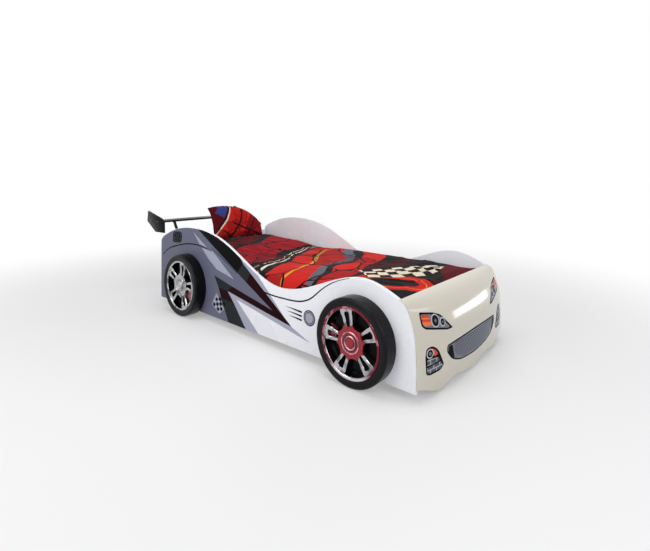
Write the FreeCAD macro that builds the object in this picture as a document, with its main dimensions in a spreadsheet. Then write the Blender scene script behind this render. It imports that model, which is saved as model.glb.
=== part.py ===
import FreeCAD, Part
import math
import os

from FreeCAD import Placement, Rotation, Vector

# A car-shaped bed for a child: lacquered side panels with two humps, a moulded nose, four fixed
# wheels, a rear wing, a slatted base and loose bedding.
#
# Frame: +X towards the nose, +Y to the bed's left, +Z up, floor at z = 0.
# Distances along the bed are counted from the rear edge of the side panels, which lies at rear_x.

doc = FreeCAD.newDocument("car_bed")

SIZES = {
    "rear_x": -891.0,
    # lying area and boards
    "lying_length": 1999.0,
    "outer_width": 962.0,
    "panel_thickness": 18.0,
    "panel_lift": 42.0,
    "edge_bevel": 2.5,
    "fit_clearance": 0.3,
    # outline of the side panels
    "rear_edge_height": 436.0,
    "shoulder_x": 44.0,
    "shoulder_height": 488.0,
    "rear_hump_x": 431.0,
    "rear_hump_height": 576.0,
    "saddle_x": 1261.0,
    "saddle_height": 333.0,
    "front_hump_x": 1829.0,
    "front_hump_height": 478.0,
    # nose moulding
    "nose_wall": 4.0,
    "nose_top_height": 420.0,
    "nose_bulge": 46.0,
    "nose_brow": 92.0,
    "nose_corner_height": 57.0,
    "nose_lobe_y": 310.0,
    "nose_lobe_height": 9.0,
    "nose_notch_y": 195.0,
    "nose_notch_height": 30.0,
    "nose_lip_height": 7.0,
    "cleat_width": 20.0,
    "cleat_depth": 34.0,
    "nose_gap": 1.0,
    # head and foot
    "head_height": 440.0,
    "end_board_lift": 70.0,
    # bed base
    "rail_width": 25.0,
    "rail_height": 45.0,
    "slat_width": 70.0,
    "slat_thickness": 12.0,
    "slat_count": 13.0,
    "slat_top": 178.0,
    "web_width": 30.0,
    "web_thickness": 1.5,
    "first_slat": 80.0,
    "web_y": 220.0,
    "corner_block": 45.0,
    "angle_leg": 40.0,
    "angle_height": 60.0,
    "angle_thickness": 2.5,
    "angle_lift": 210.0,
    # wheels
    "rear_wheel_x": 375.0,
    "front_wheel_x": 1808.0,
    "tyre_radius": 200.0,
    "tyre_bore": 163.0,
    "tyre_depth": 75.0,
    "tyre_taper": 3.5,
    "tyre_shoulder": 13.0,
    "core_depth": 34.0,
    "rim_set_back": 2.7,
    "rim_wall": 5.0,
    "rim_lip": 12.0,
    "hub_radius": 50.0,
    "hub_depth": 26.0,
    "spoke_count": 5.0,
    "spoke_width": 15.0,
    "spoke_root_gap": 11.0,
    "spoke_end_gap": 30.0,
    "spoke_drop": 3.0,
    "spoke_thickness": 10.0,
    "spoke_dish": 8.0,
    "rear_spoke_angle": 5.0,
    "front_spoke_angle": 29.0,
    "cap_radius": 46.0,
    "cap_star_radius": 70.0,
    "cap_thickness": 5.0,
    # rear wing
    "wing_span": 786.0,
    "wing_front_x": -175.0,
    "wing_chord": 155.0,
    "wing_thickness": 14.0,
    "wing_tail": 5.0,
    "wing_height": 558.0,
    "end_plate_thickness": 12.0,
    "end_plate_length": 261.0,
    "end_plate_height": 154.0,
    "strut_y": 277.0,
    "strut_bar": 16.0,
    "strut_flange": 4.0,
    "strut_top_length": 46.0,
    "strut_foot_length": 64.0,
    "strut_foot_height": 282.0,
    # bedding
    "mattress_thickness": 168.0,
    "mattress_side_gap": 13.0,
    "mattress_end_gap": 6.5,
    "mattress_round": 40.0,
    "duvet_gap": 1.2,
    "duvet_side": 10.5,
    "duvet_tuck": 66.0,
    "duvet_loft": 34.0,
    "duvet_fold": 7.0,
    "duvet_channels": 5.0,
    "pillow_width": 500.0,
    "pillow_height": 305.0,
    "pillow_thickness": 110.0,
    "pillow_seam": 12.0,
    "pillow_lean": 22.0,
    "pillow_droop": 130.0,
    "pillow_y": 150.0,
}

sheet = doc.addObject("Spreadsheet::Sheet", "Sizes")
for row, (alias, value) in enumerate(SIZES.items(), start=1):
    sheet.set(f"A{row}", alias)
    sheet.set(f"B{row}", str(value))
    sheet.setAlias(f"B{row}", alias)
doc.recompute()


def size(alias):
    """A driving dimension, in millimetres or degrees."""
    return float(sheet.get(alias))


exported = []


def keep(obj, label):
    """Name a finished sub-part and put it on the list of files to write."""
    obj.Label = label
    exported.append(obj)
    return obj


HALF_WIDTH = size("outer_width") / 2
INNER_HALF = HALF_WIDTH - size("panel_thickness")
REAR = size("rear_x")
CLEAR = size("fit_clearance")
FOOT_INNER = size("panel_thickness") + size("lying_length")
FOOT_OUTER = FOOT_INNER + size("panel_thickness")
SIDES = (("right", -1), ("left", 1))
WHEELS = (("rear", "rear_wheel_x", "rear_spoke_angle"), ("front", "front_wheel_x", "front_spoke_angle"))


# ---------------------------------------------------------------- outlines


def smooth(u):
    return u * u * (3 - 2 * u)


def crest(x):
    """Height of the side panel's top edge at a distance from its rear edge."""
    shoulder_x, hump_x = size("shoulder_x"), size("rear_hump_x")
    saddle_x, front_x = size("saddle_x"), size("front_hump_x")
    shoulder, hump = size("shoulder_height"), size("rear_hump_height")
    saddle, front = size("saddle_height"), size("front_hump_height")
    if x <= hump_x:
        u = (x - shoulder_x) / (hump_x - shoulder_x)
        return hump - (hump - shoulder) * (1 - u) ** 2.2
    if x <= saddle_x:
        u = (x - hump_x) / (saddle_x - hump_x)
        return hump - (hump - saddle) * smooth(u**1.3)
    if x <= front_x:
        u = (x - saddle_x) / (front_x - saddle_x)
        return saddle + (front - saddle) * smooth(u**1.08)
    u = (x - front_x) / (FOOT_INNER - front_x)
    return front - (front - size("nose_top_height")) * u**1.6


def crest_points():
    """Points along the top edge, from the rear corner to where the nose begins."""
    points = [(0.0, size("rear_edge_height")), (0.27 * size("shoulder_x"), size("shoulder_height") - 21)]
    stretches = (
        ("shoulder_x", size("rear_hump_x"), 4),
        ("rear_hump_x", size("saddle_x"), 7),
        ("saddle_x", size("front_hump_x"), 6),
        ("front_hump_x", FOOT_INNER, 4),
    )
    for start, end, parts in stretches:
        first = size(start)
        for i in range(parts):
            x = first + (end - first) * i / parts
            points.append((x, crest(x)))
    points.append((FOOT_INNER, size("nose_top_height")))
    return points


# The nose at its side corners: shares of its brow in front of its top edge, and of its height left.
NOSE_LINE = ((0.0, 1.0), (0.273, 0.972), (0.54, 0.874), (0.791, 0.713), (0.944, 0.462), (1.0, 0.27), (1.0, 0.0))


def nose_corner(level):
    """The nose's outline over the side panels, at one of the levels of NOSE_LINE."""
    reach, share = NOSE_LINE[level]
    low = size("panel_lift")
    return FOOT_INNER + reach * size("nose_brow"), low + (size("nose_top_height") - low) * share


def offset(points, distance):
    """Shift a line of (x, z) points to its right-hand side by a distance."""
    moved = []
    for i, (x, z) in enumerate(points):
        x0, z0 = points[max(i - 1, 0)]
        x1, z1 = points[min(i + 1, len(points) - 1)]
        run = math.hypot(x1 - x0, z1 - z0)
        moved.append((x + distance * (z1 - z0) / run, z - distance * (x1 - x0) / run))
    return moved


def panel_front():
    """The curved part of the side panel's front edge: the nose corner less the moulding's wall."""
    edge = offset([nose_corner(i) for i in range(len(NOSE_LINE))], size("nose_wall"))
    edge[0] = (FOOT_INNER, edge[0][1])
    return edge[:-1]


def spline(points):
    curve = Part.BSplineCurve()
    curve.interpolate([Vector(x, y, 0) for x, y in points])
    return curve


def height_at(points, x):
    """Height of the smooth line through the points where it first reaches x."""
    cut = Part.LineSegment(Vector(x, -1e4, 0), Vector(x, 1e4, 0))
    return max(hit.Y for hit in spline(points).intersect(cut))


# How far the arcs of an outline may stray from the smooth line through its points.
ARC_FIT = 0.5


def run_of(points):
    """A line between two points, or a chain of tangent arcs along the smooth line through more."""
    if len(points) == 2:
        return [Part.LineSegment(*(Vector(x, y, 0) for x, y in points))]
    return spline(points).toBiArcs(ARC_FIT)


def outline_sketch(sketch, curves):
    """Draw a closed outline from runs of points."""
    for points in curves:
        for piece in run_of(points):
            sketch.addGeometry(piece, False)


def marks_along(points, count):
    """Evenly spaced marks on the smooth line through some points."""
    curve = spline(points)
    start, end = curve.FirstParameter, curve.LastParameter
    marks = [curve.value(start + (end - start) * i / count) for i in range(count + 1)]
    return [(mark.x, mark.y) for mark in marks]


def plane(body, role):
    """One of the body's own origin planes or axes."""
    return next(item for item in body.Origin.OriginFeatures if item.Role == role)


def sketch_on(body, name, role):
    sketch = body.newObject("Sketcher::SketchObject", name)
    sketch.AttachmentSupport = [(plane(body, role), "")]
    sketch.MapMode = "FlatFace"
    return sketch


def pad(body, sketch, name, length, reverse=False):
    feature = body.newObject("PartDesign::Pad", name)
    feature.Profile = sketch
    feature.setExpression("Length", length)
    feature.Reversed = reverse
    return feature


def board(label, length, width, height, x, y, z):
    """A rectangular board; every argument is an expression over the sheet."""
    part = doc.addObject("Part::Box", label)
    for prop, formula in (("Length", length), ("Width", width), ("Height", height)):
        part.setExpression(prop, formula)
    for prop, formula in (("x", x), ("y", y), ("z", z)):
        part.setExpression(f"Placement.Base.{prop}", formula)
    return part


def group(label, members):
    """Several separate solids kept under one name."""
    part = doc.addObject("Part::Compound", label)
    part.Links = members
    return keep(part, label)


# ---------------------------------------------------------------- side panels


def crest_edges(shape, low):
    """Names of the arc edges of a shape that lie above a height."""
    names = []
    for i, edge in enumerate(shape.Edges, start=1):
        if edge.Curve.TypeId == "Part::GeomCircle" and edge.BoundBox.ZMin > low:
            names.append(f"Edge{i}")
    return names


def side_panel(side, sign):
    body = doc.addObject("PartDesign::Body", f"side_panel_{side}")
    outline = sketch_on(body, f"panel_outline_{side}", "XZ_Plane")
    top = crest_points()
    front = panel_front()
    low = size("panel_lift")
    toe = (front[-1][0], low)
    rear_edge = [(0.0, low), (0.0, size("rear_edge_height"))]
    outline_sketch(outline, [rear_edge, top, [top[-1], front[0]], front, [front[-1], toe], [toe, rear_edge[0]]])
    whole = pad(body, outline, f"panel_board_{side}", "Sizes.panel_thickness", reverse=sign > 0)
    doc.recompute()
    bevel = body.newObject("PartDesign::Chamfer", f"panel_edge_{side}")
    bevel.Base = (whole, crest_edges(whole.Shape, min(size("saddle_height"), front[0][1]) - 1))
    bevel.setExpression("Size", "Sizes.edge_bevel")
    body.setExpression("Placement.Base.x", "Sizes.rear_x")
    face = "(Sizes.outer_width / 2 - Sizes.panel_thickness)"
    body.setExpression("Placement.Base.y", f"{sign} * {face}")
    return keep(body, f"side_panel_{side}")


for side, sign in SIDES:
    side_panel(side, sign)

# ---------------------------------------------------------------- head and foot boards

inner_width = "(Sizes.outer_width - 2 * Sizes.panel_thickness)"
inner_start = "(Sizes.panel_thickness - Sizes.outer_width / 2)"


def head_panel():
    panel = board(
        "head_board",
        "Sizes.panel_thickness",
        inner_width,
        "Sizes.head_height - Sizes.end_board_lift",
        "Sizes.rear_x",
        inner_start,
        "Sizes.end_board_lift",
    )
    return keep(panel, "head_panel")


head_panel()


def foot_panel():
    """The foot board, its top bevelled to lie under the nose's crown."""
    body = doc.addObject("PartDesign::Body", "foot_panel")
    outline = sketch_on(body, "foot_outline", "XZ_Plane")
    front_top = height_at(panel_front(), FOOT_OUTER)
    corners = [
        (FOOT_INNER, size("end_board_lift")),
        (FOOT_OUTER, size("end_board_lift")),
        (FOOT_OUTER, front_top - size("nose_gap")),
        (FOOT_INNER, panel_front()[0][1] - size("nose_gap")),
    ]
    outline_sketch(outline, [[corners[i], corners[(i + 1) % 4]] for i in range(4)])
    whole = pad(body, outline, "foot_board", inner_width)
    whole.Midplane = True
    body.setExpression("Placement.Base.x", "Sizes.rear_x")
    return keep(body, "foot_panel")


foot_panel()

# ---------------------------------------------------------------- nose


def nose_bottom(y):
    """Height of the nose's lower edge above the floor, at a distance from the middle."""
    keys = (
        (0.0, size("nose_lip_height")),
        (size("nose_notch_y"), size("nose_notch_height")),
        (size("nose_lobe_y"), size("nose_lobe_height")),
        (HALF_WIDTH, size("nose_corner_height")),
    )
    for (y0, z0), (y1, z1) in zip(keys, keys[1:]):
        if abs(y) <= y1:
            return z0 + (z1 - z0) * smooth((abs(y) - y0) / (y1 - y0))
    return keys[-1][1]


# How much of the bulge each level of NOSE_LINE takes: none at the top edge, all at the bumper.
BULGE_SHARE = (0.0, 0.42, 0.86, 1.0, 1.08, 1.02, 0.8)


def nose_outside(y):
    """The nose's outer line in a lengthwise cut at y, from the top edge down to the lower edge."""
    forward = 1 - (abs(y) / HALF_WIDTH) ** 2.4
    low = size("panel_lift")
    floor = nose_bottom(y)
    line = []
    for level, share in enumerate(BULGE_SHARE):
        x, z = nose_corner(level)
        drop = (size("nose_top_height") - z) / (size("nose_top_height") - low)
        line.append((x + size("nose_bulge") * share * forward, z - (low - floor) * drop**3))
    return line


# Arcs that make up the nose's curve, from its top edge down.
NOSE_ARCS = 4


def arcs_through(points, y):
    """Arcs along the smooth line through some points, in the plane at y."""
    marks = [Vector(x, y, z) for x, z in marks_along(points, 2 * NOSE_ARCS)]
    return [Part.Arc(*marks[i : i + 3]).toShape() for i in range(0, len(marks) - 1, 2)]


def lines_through(points, y):
    """Short lines along the smooth line through some points, in the plane at y."""
    marks = [Vector(x, y, z) for x, z in marks_along(points, 4 * NOSE_ARCS)]
    return [Part.makeLine(*ends) for ends in zip(marks, marks[1:])]


def back_edge(y):
    """The nose's back edge in the plane at y, in the same arcs as the side panel's front."""
    edges = [arc.toShape() for arc in run_of(panel_front())]
    for edge in edges:
        edge.Placement = Placement(Vector(0, y, 0), Rotation(Vector(1, 0, 0), 90))
    return edges


def nose_section(y, front, back):
    """A closed section in the plane at y: two curved sides joined at the top, and at a toe below."""
    (upper, lower), (back_upper, back_lower) = ((run[0].firstVertex(True), run[-1].lastVertex(True)) for run in (front, back))
    toe = Vector(back_lower.X, y, lower.Z)
    below = Part.makeLine(lower.Point, toe)
    behind = Part.makeLine(toe, back_lower.Point)
    above = Part.makeLine(back_upper.Point, upper.Point)
    return Part.Wire(front + [below, behind] + back[::-1] + [above])


# How far the tool that hollows the nose reaches past its open back and its lower edge.
CAVITY_DEPTH = 60.0


def nose_moulding():
    """A thin shell: the bulged front less a smaller copy of itself, open at the back and below."""
    wall = size("nose_wall")
    stations = [-1.0, -0.94, -0.84, -0.73, -0.62, -0.5, -0.4, -0.22]
    stations += [0.0] + [-s for s in reversed(stations)]
    outer_sections = []
    for s in stations:
        y = s * HALF_WIDTH
        outer_sections.append(nose_section(y, arcs_through(nose_outside(y), y), back_edge(y)))
    cavity_sections = []
    behind = [(x - CAVITY_DEPTH, z) for x, z in panel_front()]
    for s in stations:
        y = s * (INNER_HALF - CLEAR)
        hollow = offset(nose_outside(y), wall)
        hollow[0] = (hollow[0][0], behind[0][1])
        hollow[-1] = (hollow[-1][0], hollow[-1][1] - CAVITY_DEPTH)
        cavity_sections.append(nose_section(y, lines_through(hollow, y), lines_through(behind, y)))
    block = Part.makeLoft(outer_sections, True, True)
    cavity = Part.makeLoft(cavity_sections, True, True)
    nose = doc.addObject("Part::Feature", "nose_moulding")
    nose.Shape = block.cut(cavity)
    nose.Placement = Placement(Vector(REAR, 0, 0), Rotation())
    return keep(nose, "nose_moulding")


nose_moulding()


def nose_cleat(side, sign):
    """A strip on the inner face of a side panel, behind the nose; its front edge follows the panel's."""
    body = doc.addObject("PartDesign::Body", f"nose_cleat_{side}")
    outline = sketch_on(body, f"cleat_outline_{side}", "XZ_Plane")
    rim = [(x - size("nose_gap"), z) for x, z in panel_front()[2:]]
    depth = size("cleat_depth")
    corners = [(rim[-1][0] - depth, rim[-1][1]), (rim[0][0] - depth / 2, rim[0][1])]
    outline_sketch(outline, [rim, [rim[-1], corners[0]], [corners[0], corners[1]], [corners[1], rim[0]]])
    pad(body, outline, f"cleat_board_{side}", "Sizes.cleat_width", reverse=sign < 0)
    body.setExpression("Placement.Base.x", "Sizes.rear_x")
    body.setExpression("Placement.Base.y", f"{sign} * (Sizes.outer_width / 2 - Sizes.panel_thickness)")
    return keep(body, f"nose_cleat_{side}")


for side, sign in SIDES:
    nose_cleat(side, sign)

# ---------------------------------------------------------------- bed base


rail_z = "(Sizes.slat_top - Sizes.slat_thickness - Sizes.rail_height)"
between_rails = "(Sizes.lying_length - 2 * Sizes.rail_width)"
rail_x = "(Sizes.rear_x + Sizes.panel_thickness)"


def rails():
    for name, x in (("head_rail", rail_x), ("foot_rail", f"({rail_x} + Sizes.lying_length - Sizes.rail_width)")):
        keep(board(name, "Sizes.rail_width", inner_width, "Sizes.rail_height", x, inner_start, rail_z), name)
    start_x = f"({rail_x} + Sizes.rail_width)"
    for name, y in (
        ("side_rail_right", inner_start),
        ("side_rail_left", f"(-1 * {inner_start} - Sizes.rail_width)"),
    ):
        keep(board(name, between_rails, "Sizes.rail_width", "Sizes.rail_height", start_x, y, rail_z), name)


def slats():
    """Flat slats across the side rails, evenly spaced, tied by two webbing straps."""
    count = int(size("slat_count"))
    pitch = f"(Sizes.lying_length - 2 * Sizes.first_slat) / {count - 1}"
    members = []
    for i in range(count):
        x = f"{rail_x} + Sizes.first_slat - Sizes.slat_width / 2 + {i} * {pitch}"
        members.append(
            board(
                f"slat_{i}",
                "Sizes.slat_width",
                f"{inner_width} - 2 * Sizes.fit_clearance",
                "Sizes.slat_thickness",
                x,
                f"{inner_start} + Sizes.fit_clearance",
                "Sizes.slat_top - Sizes.slat_thickness",
            )
        )
    group("slats", members)
    straps = []
    for side, sign in SIDES:
        straps.append(
            board(
                f"strap_{side}",
                "Sizes.lying_length - 2 * Sizes.first_slat + Sizes.slat_width",
                "Sizes.web_width",
                "Sizes.web_thickness",
                f"{rail_x} + Sizes.first_slat - Sizes.slat_width / 2",
                f"{sign} * Sizes.web_y - Sizes.web_width / 2",
                "Sizes.slat_top",
            )
        )
    group("slat_webbing", straps)


rails()
slats()

# ---------------------------------------------------------------- corner joints


def shape_group(label, shapes):
    part = doc.addObject("Part::Feature", label)
    part.Shape = Part.makeCompound(shapes)
    return keep(part, label)


def corner_joints():
    """A glued block under the rails and a steel angle above them in each inner corner."""
    block = "Sizes.corner_block"
    block_height = f"{rail_z} - Sizes.end_board_lift"
    far_x = f"({rail_x} + Sizes.lying_length - {block})"
    blocks, angles = [], []
    for end, x in (("head", rail_x), ("foot", far_x)):
        for side, y in (("right", inner_start), ("left", f"(-1 * {inner_start} - {block})")):
            name = f"corner_block_{end}_{side}"
            blocks.append(board(name, block, block, block_height, x, y, "Sizes.end_board_lift"))
    group("corner_blocks", blocks)
    leg, thick = size("angle_leg"), size("angle_thickness")
    ring = [(0, 0), (leg, 0), (leg, thick), (thick, thick), (thick, leg), (0, leg), (0, 0)]
    for face_x, x_sign in ((size("panel_thickness"), 1), (FOOT_INNER, -1)):
        for y_sign in (1, -1):
            corner = Vector(REAR + face_x, -y_sign * INNER_HALF, size("angle_lift"))
            wire = Part.makePolygon([corner + Vector(x_sign * u, y_sign * v, 0) for u, v in ring])
            angles.append(Part.Face(wire).extrude(Vector(0, 0, size("angle_height"))))
    shape_group("corner_angles", angles)


corner_joints()

# ---------------------------------------------------------------- wheels


def turned(body, sketch, name, kind="PartDesign::Revolution"):
    """Turn a half section, drawn as (radius, depth), about the wheel's axis."""
    feature = body.newObject(kind, name)
    feature.Profile = sketch
    feature.ReferenceAxis = (sketch, ["V_Axis"])
    feature.Angle = 360
    return feature


def ring_of(points):
    """Straight runs round a closed outline."""
    return [[points[i], points[(i + 1) % len(points)]] for i in range(len(points))]


def seat_wheel_part(body, sign, wheel_x, angle):
    """Turn a part drawn about its own Z so that its axis points out of the bed's side."""
    outward = Rotation(Vector(1, 0, 0), 90) if sign < 0 else Rotation(Vector(0, 1, 1), 180)
    body.Placement = Placement(Vector(0, 0, 0), outward * Rotation(Vector(0, 0, 1), angle))
    body.setExpression("Placement.Base.x", f"Sizes.rear_x + Sizes.{wheel_x}")
    body.setExpression("Placement.Base.y", f"{sign} * Sizes.outer_width / 2")
    body.setExpression("Placement.Base.z", "Sizes.tyre_radius")


def tyre(tag, sign, wheel_x):
    """The tyre: a broad tread, tapered outwards, a bevelled shoulder and a flat side wall."""
    body = doc.addObject("PartDesign::Body", f"tyre_{tag}")
    section = sketch_on(body, f"tyre_section_{tag}", "XZ_Plane")
    bore, outer, depth = size("tyre_bore"), size("tyre_radius"), size("tyre_depth")
    shoulder = size("tyre_shoulder")
    edge = outer - size("tyre_taper")
    profile = [(bore, 0), (outer, 0), (outer, 0.5 * depth), (edge, depth - 0.6 * shoulder)]
    profile += [(edge - shoulder, depth), (bore, depth)]
    outline_sketch(section, ring_of(profile))
    turned(body, section, f"tyre_ring_{tag}")
    seat_wheel_part(body, sign, wheel_x, 90)
    return body


def wheel_core(tag, sign, wheel_x):
    """The disc behind the rim, screwed to the side panel from inside."""
    body = doc.addObject("PartDesign::Body", f"wheel_core_{tag}")
    disc = sketch_on(body, f"core_outline_{tag}", "XY_Plane")
    disc.addGeometry(Part.Circle(Vector(0, 0, 0), Vector(0, 0, 1), size("tyre_bore") - CLEAR), False)
    pad(body, disc, f"core_disc_{tag}", "Sizes.core_depth")
    seat_wheel_part(body, sign, wheel_x, 0)
    return body


def rim(tag, sign, wheel_x, angle):
    """The rim: a hub, five twin spokes rising outwards, and a flared ring with its front lip."""
    body = doc.addObject("PartDesign::Body", f"wheel_rim_{tag}")
    back = size("core_depth")
    front = size("tyre_depth") - size("rim_set_back")
    hub, hub_top = size("hub_radius"), back + size("hub_depth")
    outer = size("tyre_bore") - CLEAR
    inner = outer - size("rim_wall")
    lip = outer - size("rim_lip")
    hub_section = sketch_on(body, f"hub_section_{tag}", "XZ_Plane")
    outline_sketch(hub_section, ring_of([(0, back), (hub, back), (hub, hub_top), (0, hub_top)]))
    turned(body, hub_section, f"hub_{tag}")
    wide = size("spoke_width")
    root_y, end_y = (size("spoke_root_gap") + wide) / 2, (size("spoke_end_gap") + wide) / 2
    root_x = 0.8 * hub
    end_x = math.sqrt((outer - 1) ** 2 - (end_y + wide / 2) ** 2)
    spread = math.degrees(math.atan2(end_y - root_y, end_x - root_x))
    top = hub_top - size("spoke_drop")
    low = top - size("spoke_thickness")
    rise = size("spoke_dish")
    bars = []
    for name, way in (("one", 1), ("two", -1)):
        bar = sketch_on(body, f"spoke_{name}_{tag}", "XZ_Plane")
        # The sketch is turned about the wheel's axis to look along the bar.
        turn = Rotation(Vector(0, 1, 0), way * spread)
        bar.AttachmentOffset = Placement(Vector(root_x, 0, -way * root_y), turn)
        run = (end_x - root_x) / math.cos(math.radians(spread))
        outline_sketch(bar, ring_of([(0, low), (run, low + rise), (run, top + rise), (0, top)]))
        bars.append(pad(body, bar, f"spoke_bar_{name}_{tag}", "Sizes.spoke_width"))
        bars[-1].Midplane = True
    doc.recompute()
    pattern = body.newObject("PartDesign::PolarPattern", f"spoke_ring_{tag}")
    pattern.Originals = bars
    pattern.Axis = (hub_section, ["V_Axis"])
    pattern.Angle = 360
    pattern.setExpression("Occurrences", "Sizes.spoke_count")
    body.Tip = pattern
    doc.recompute()
    ring_section = sketch_on(body, f"ring_section_{tag}", "XZ_Plane")
    ring = [(inner, back), (outer, back), (outer, front), (lip, front)]
    outline_sketch(ring_section, ring_of(ring))
    turned(body, ring_section, f"ring_{tag}")
    seat_wheel_part(body, sign, wheel_x, angle)
    return body


def hub_cap(tag, sign, wheel_x, angle):
    """A star-edged cover over the hub, with a stepped round boss."""
    body = doc.addObject("PartDesign::Body", f"hub_cap_{tag}")
    base = size("core_depth") + size("hub_depth")
    thick = size("cap_thickness")
    star = sketch_on(body, f"cap_star_{tag}", "XY_Plane")
    star.AttachmentOffset = Placement(Vector(0, 0, base), Rotation())
    corners = []
    tips = int(size("spoke_count"))
    for i in range(2 * tips):
        reach = size("cap_star_radius") if i % 2 == 0 else size("cap_radius")
        turn = math.pi * i / tips
        corners.append((reach * math.cos(turn), reach * math.sin(turn)))
    outline_sketch(star, ring_of(corners))
    pad(body, star, f"cap_plate_{tag}", "Sizes.cap_thickness")
    rings = sketch_on(body, f"cap_rings_{tag}", "XZ_Plane")
    low = base + thick - 1
    radius = size("cap_radius")
    boss = [(0, low), (0.84 * radius, low), (0.74 * radius, low + 4), (0.36 * radius, low + 7), (0, low + 7)]
    outline_sketch(rings, ring_of(boss))
    turned(body, rings, f"cap_raised_{tag}")
    seat_wheel_part(body, sign, wheel_x, angle)
    return body


def wheels():
    tyres, cores, rims, caps = [], [], [], []
    for side, sign in SIDES:
        for end, wheel_x, angle in WHEELS:
            tag = f"{end}_{side}"
            tyres.append(tyre(tag, sign, wheel_x))
            cores.append(wheel_core(tag, sign, wheel_x))
            rims.append(rim(tag, sign, wheel_x, size(angle)))
            caps.append(hub_cap(tag, sign, wheel_x, size(angle)))
    group("tyres", tyres)
    group("wheel_cores", cores)
    group("wheel_rims", rims)
    group("hub_caps", caps)


wheels()

# ---------------------------------------------------------------- rear wing

# Corners of an end plate, from the middle of the wing, as shares of the plate's length and height.
PLATE_OUTLINE = ((-0.421, 0.48), (-0.467, -0.04), (0.038, -0.52), (0.533, -0.5), (0.525, 0.058), (0.375, 0.195))


def wing_middle():
    return size("wing_front_x") - size("wing_chord") / 2


def wing_board():
    """A board with a round nose, thinning to its tail."""
    body = doc.addObject("PartDesign::Body", "wing_board")
    outline = sketch_on(body, "wing_section", "XZ_Plane")
    half = size("wing_thickness") / 2
    front, height = size("wing_front_x"), size("wing_height")
    back = front - size("wing_chord")
    top, low = (front - half, height + half), (front - half, height - half)
    nose = Part.Arc(Vector(*top, 0), Vector(front, height, 0), Vector(*low, 0))
    outline.addGeometry(nose, False)
    heel = (back, height - half)
    brow = (back, height - half + size("wing_tail"))
    knee = (back + 0.3 * size("wing_chord"), height + half)
    outline_sketch(outline, [[low, heel], [heel, brow], [brow, knee], [knee, top]])
    plank = pad(body, outline, "wing_plank", "Sizes.wing_span")
    plank.Midplane = True
    body.setExpression("Placement.Base.x", "Sizes.rear_x")
    return keep(body, "wing_board")


def end_plate(side, sign):
    """A plate with a raked outline, standing upright on the end of the wing."""
    body = doc.addObject("PartDesign::Body", f"end_plate_{side}")
    outline = sketch_on(body, f"plate_outline_{side}", "XZ_Plane")
    long, tall = size("end_plate_length"), size("end_plate_height")
    corners = [(wing_middle() + x * long, size("wing_height") + z * tall) for x, z in PLATE_OUTLINE]
    outline_sketch(outline, ring_of(corners))
    pad(body, outline, f"plate_board_{side}", "Sizes.end_plate_thickness", reverse=sign > 0)
    body.setExpression("Placement.Base.x", "Sizes.rear_x")
    body.setExpression("Placement.Base.y", f"{sign} * Sizes.wing_span / 2")
    return keep(body, f"end_plate_{side}")


def wing_strut(side, sign):
    """A raked bar with a flange under the wing and another on the back of the head panel."""
    body = doc.addObject("PartDesign::Body", f"wing_strut_{side}")
    outline = sketch_on(body, f"strut_outline_{side}", "XZ_Plane")
    under = size("wing_height") - size("wing_thickness") / 2
    flange = size("strut_flange")
    front = size("wing_front_x") - size("wing_thickness") / 2
    tail = front - size("strut_top_length")
    foot = size("strut_foot_height")
    foot_top = foot + size("strut_foot_length") / 2
    foot_low = foot - size("strut_foot_length") / 2
    rise = under - foot
    run = -front - size("strut_bar")
    wide = size("strut_bar") * math.hypot(rise, run) / rise
    level = foot - flange * rise / run
    bar_low = wide * rise / run
    corners = [
        (tail, under),
        (front, under),
        (front, under - flange),
        (-flange, level + 2 * flange),
        (-flange, foot_top),
        (0, foot_top),
        (0, foot_low),
        (-flange, foot_low),
        (-flange, level + 2 * flange - bar_low),
        (front - wide, under - flange),
        (tail, under - flange),
    ]
    outline_sketch(outline, ring_of(corners))
    whole = pad(body, outline, f"strut_bar_{side}", "Sizes.strut_bar")
    whole.Midplane = True
    body.setExpression("Placement.Base.x", "Sizes.rear_x")
    body.setExpression("Placement.Base.y", f"{sign} * Sizes.strut_y")
    return keep(body, f"wing_strut_{side}")


def wing():
    wing_board()
    for side, sign in SIDES:
        end_plate(side, sign)
        wing_strut(side, sign)


wing()

# ---------------------------------------------------------------- bedding


MATTRESS_LOW = size("slat_top") + size("web_thickness") + CLEAR
MATTRESS_TOP = MATTRESS_LOW + size("mattress_thickness")


def mattress():
    blank = board(
        "mattress_block",
        "Sizes.lying_length - 2 * Sizes.mattress_end_gap",
        f"{inner_width} - 2 * Sizes.mattress_side_gap",
        "Sizes.mattress_thickness",
        f"{rail_x} + Sizes.mattress_end_gap",
        f"{inner_start} + Sizes.mattress_side_gap",
        "Sizes.slat_top + Sizes.web_thickness + Sizes.fit_clearance",
    )
    doc.recompute()
    soft = doc.addObject("Part::Fillet", "mattress_soft")
    soft.Base = blank
    edge = size("mattress_round")
    upright = [i for i, e in enumerate(blank.Shape.Edges, start=1) if abs(e.tangentAt(0).z) > 0.9]
    soft.Edges = [(i, edge, edge) for i in upright]
    return keep(soft, "mattress")


def duvet_top(x):
    """Height of the duvet over the mattress along the bed: shallow folds, thin at both ends."""
    head = size("panel_thickness") + size("mattress_end_gap")
    foot = FOOT_INNER - size("mattress_end_gap")
    fold = size("duvet_fold") * (math.sin(x / 118.0) + 0.7 * math.sin(x / 63.0 + 1.0))
    end = min(1.0, (x - head) / 60.0, (foot - x) / 22.0)
    return MATTRESS_TOP + CLEAR + (size("duvet_loft") + fold) * (0.35 + 0.65 * math.sqrt(max(end, 0.0)))


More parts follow.
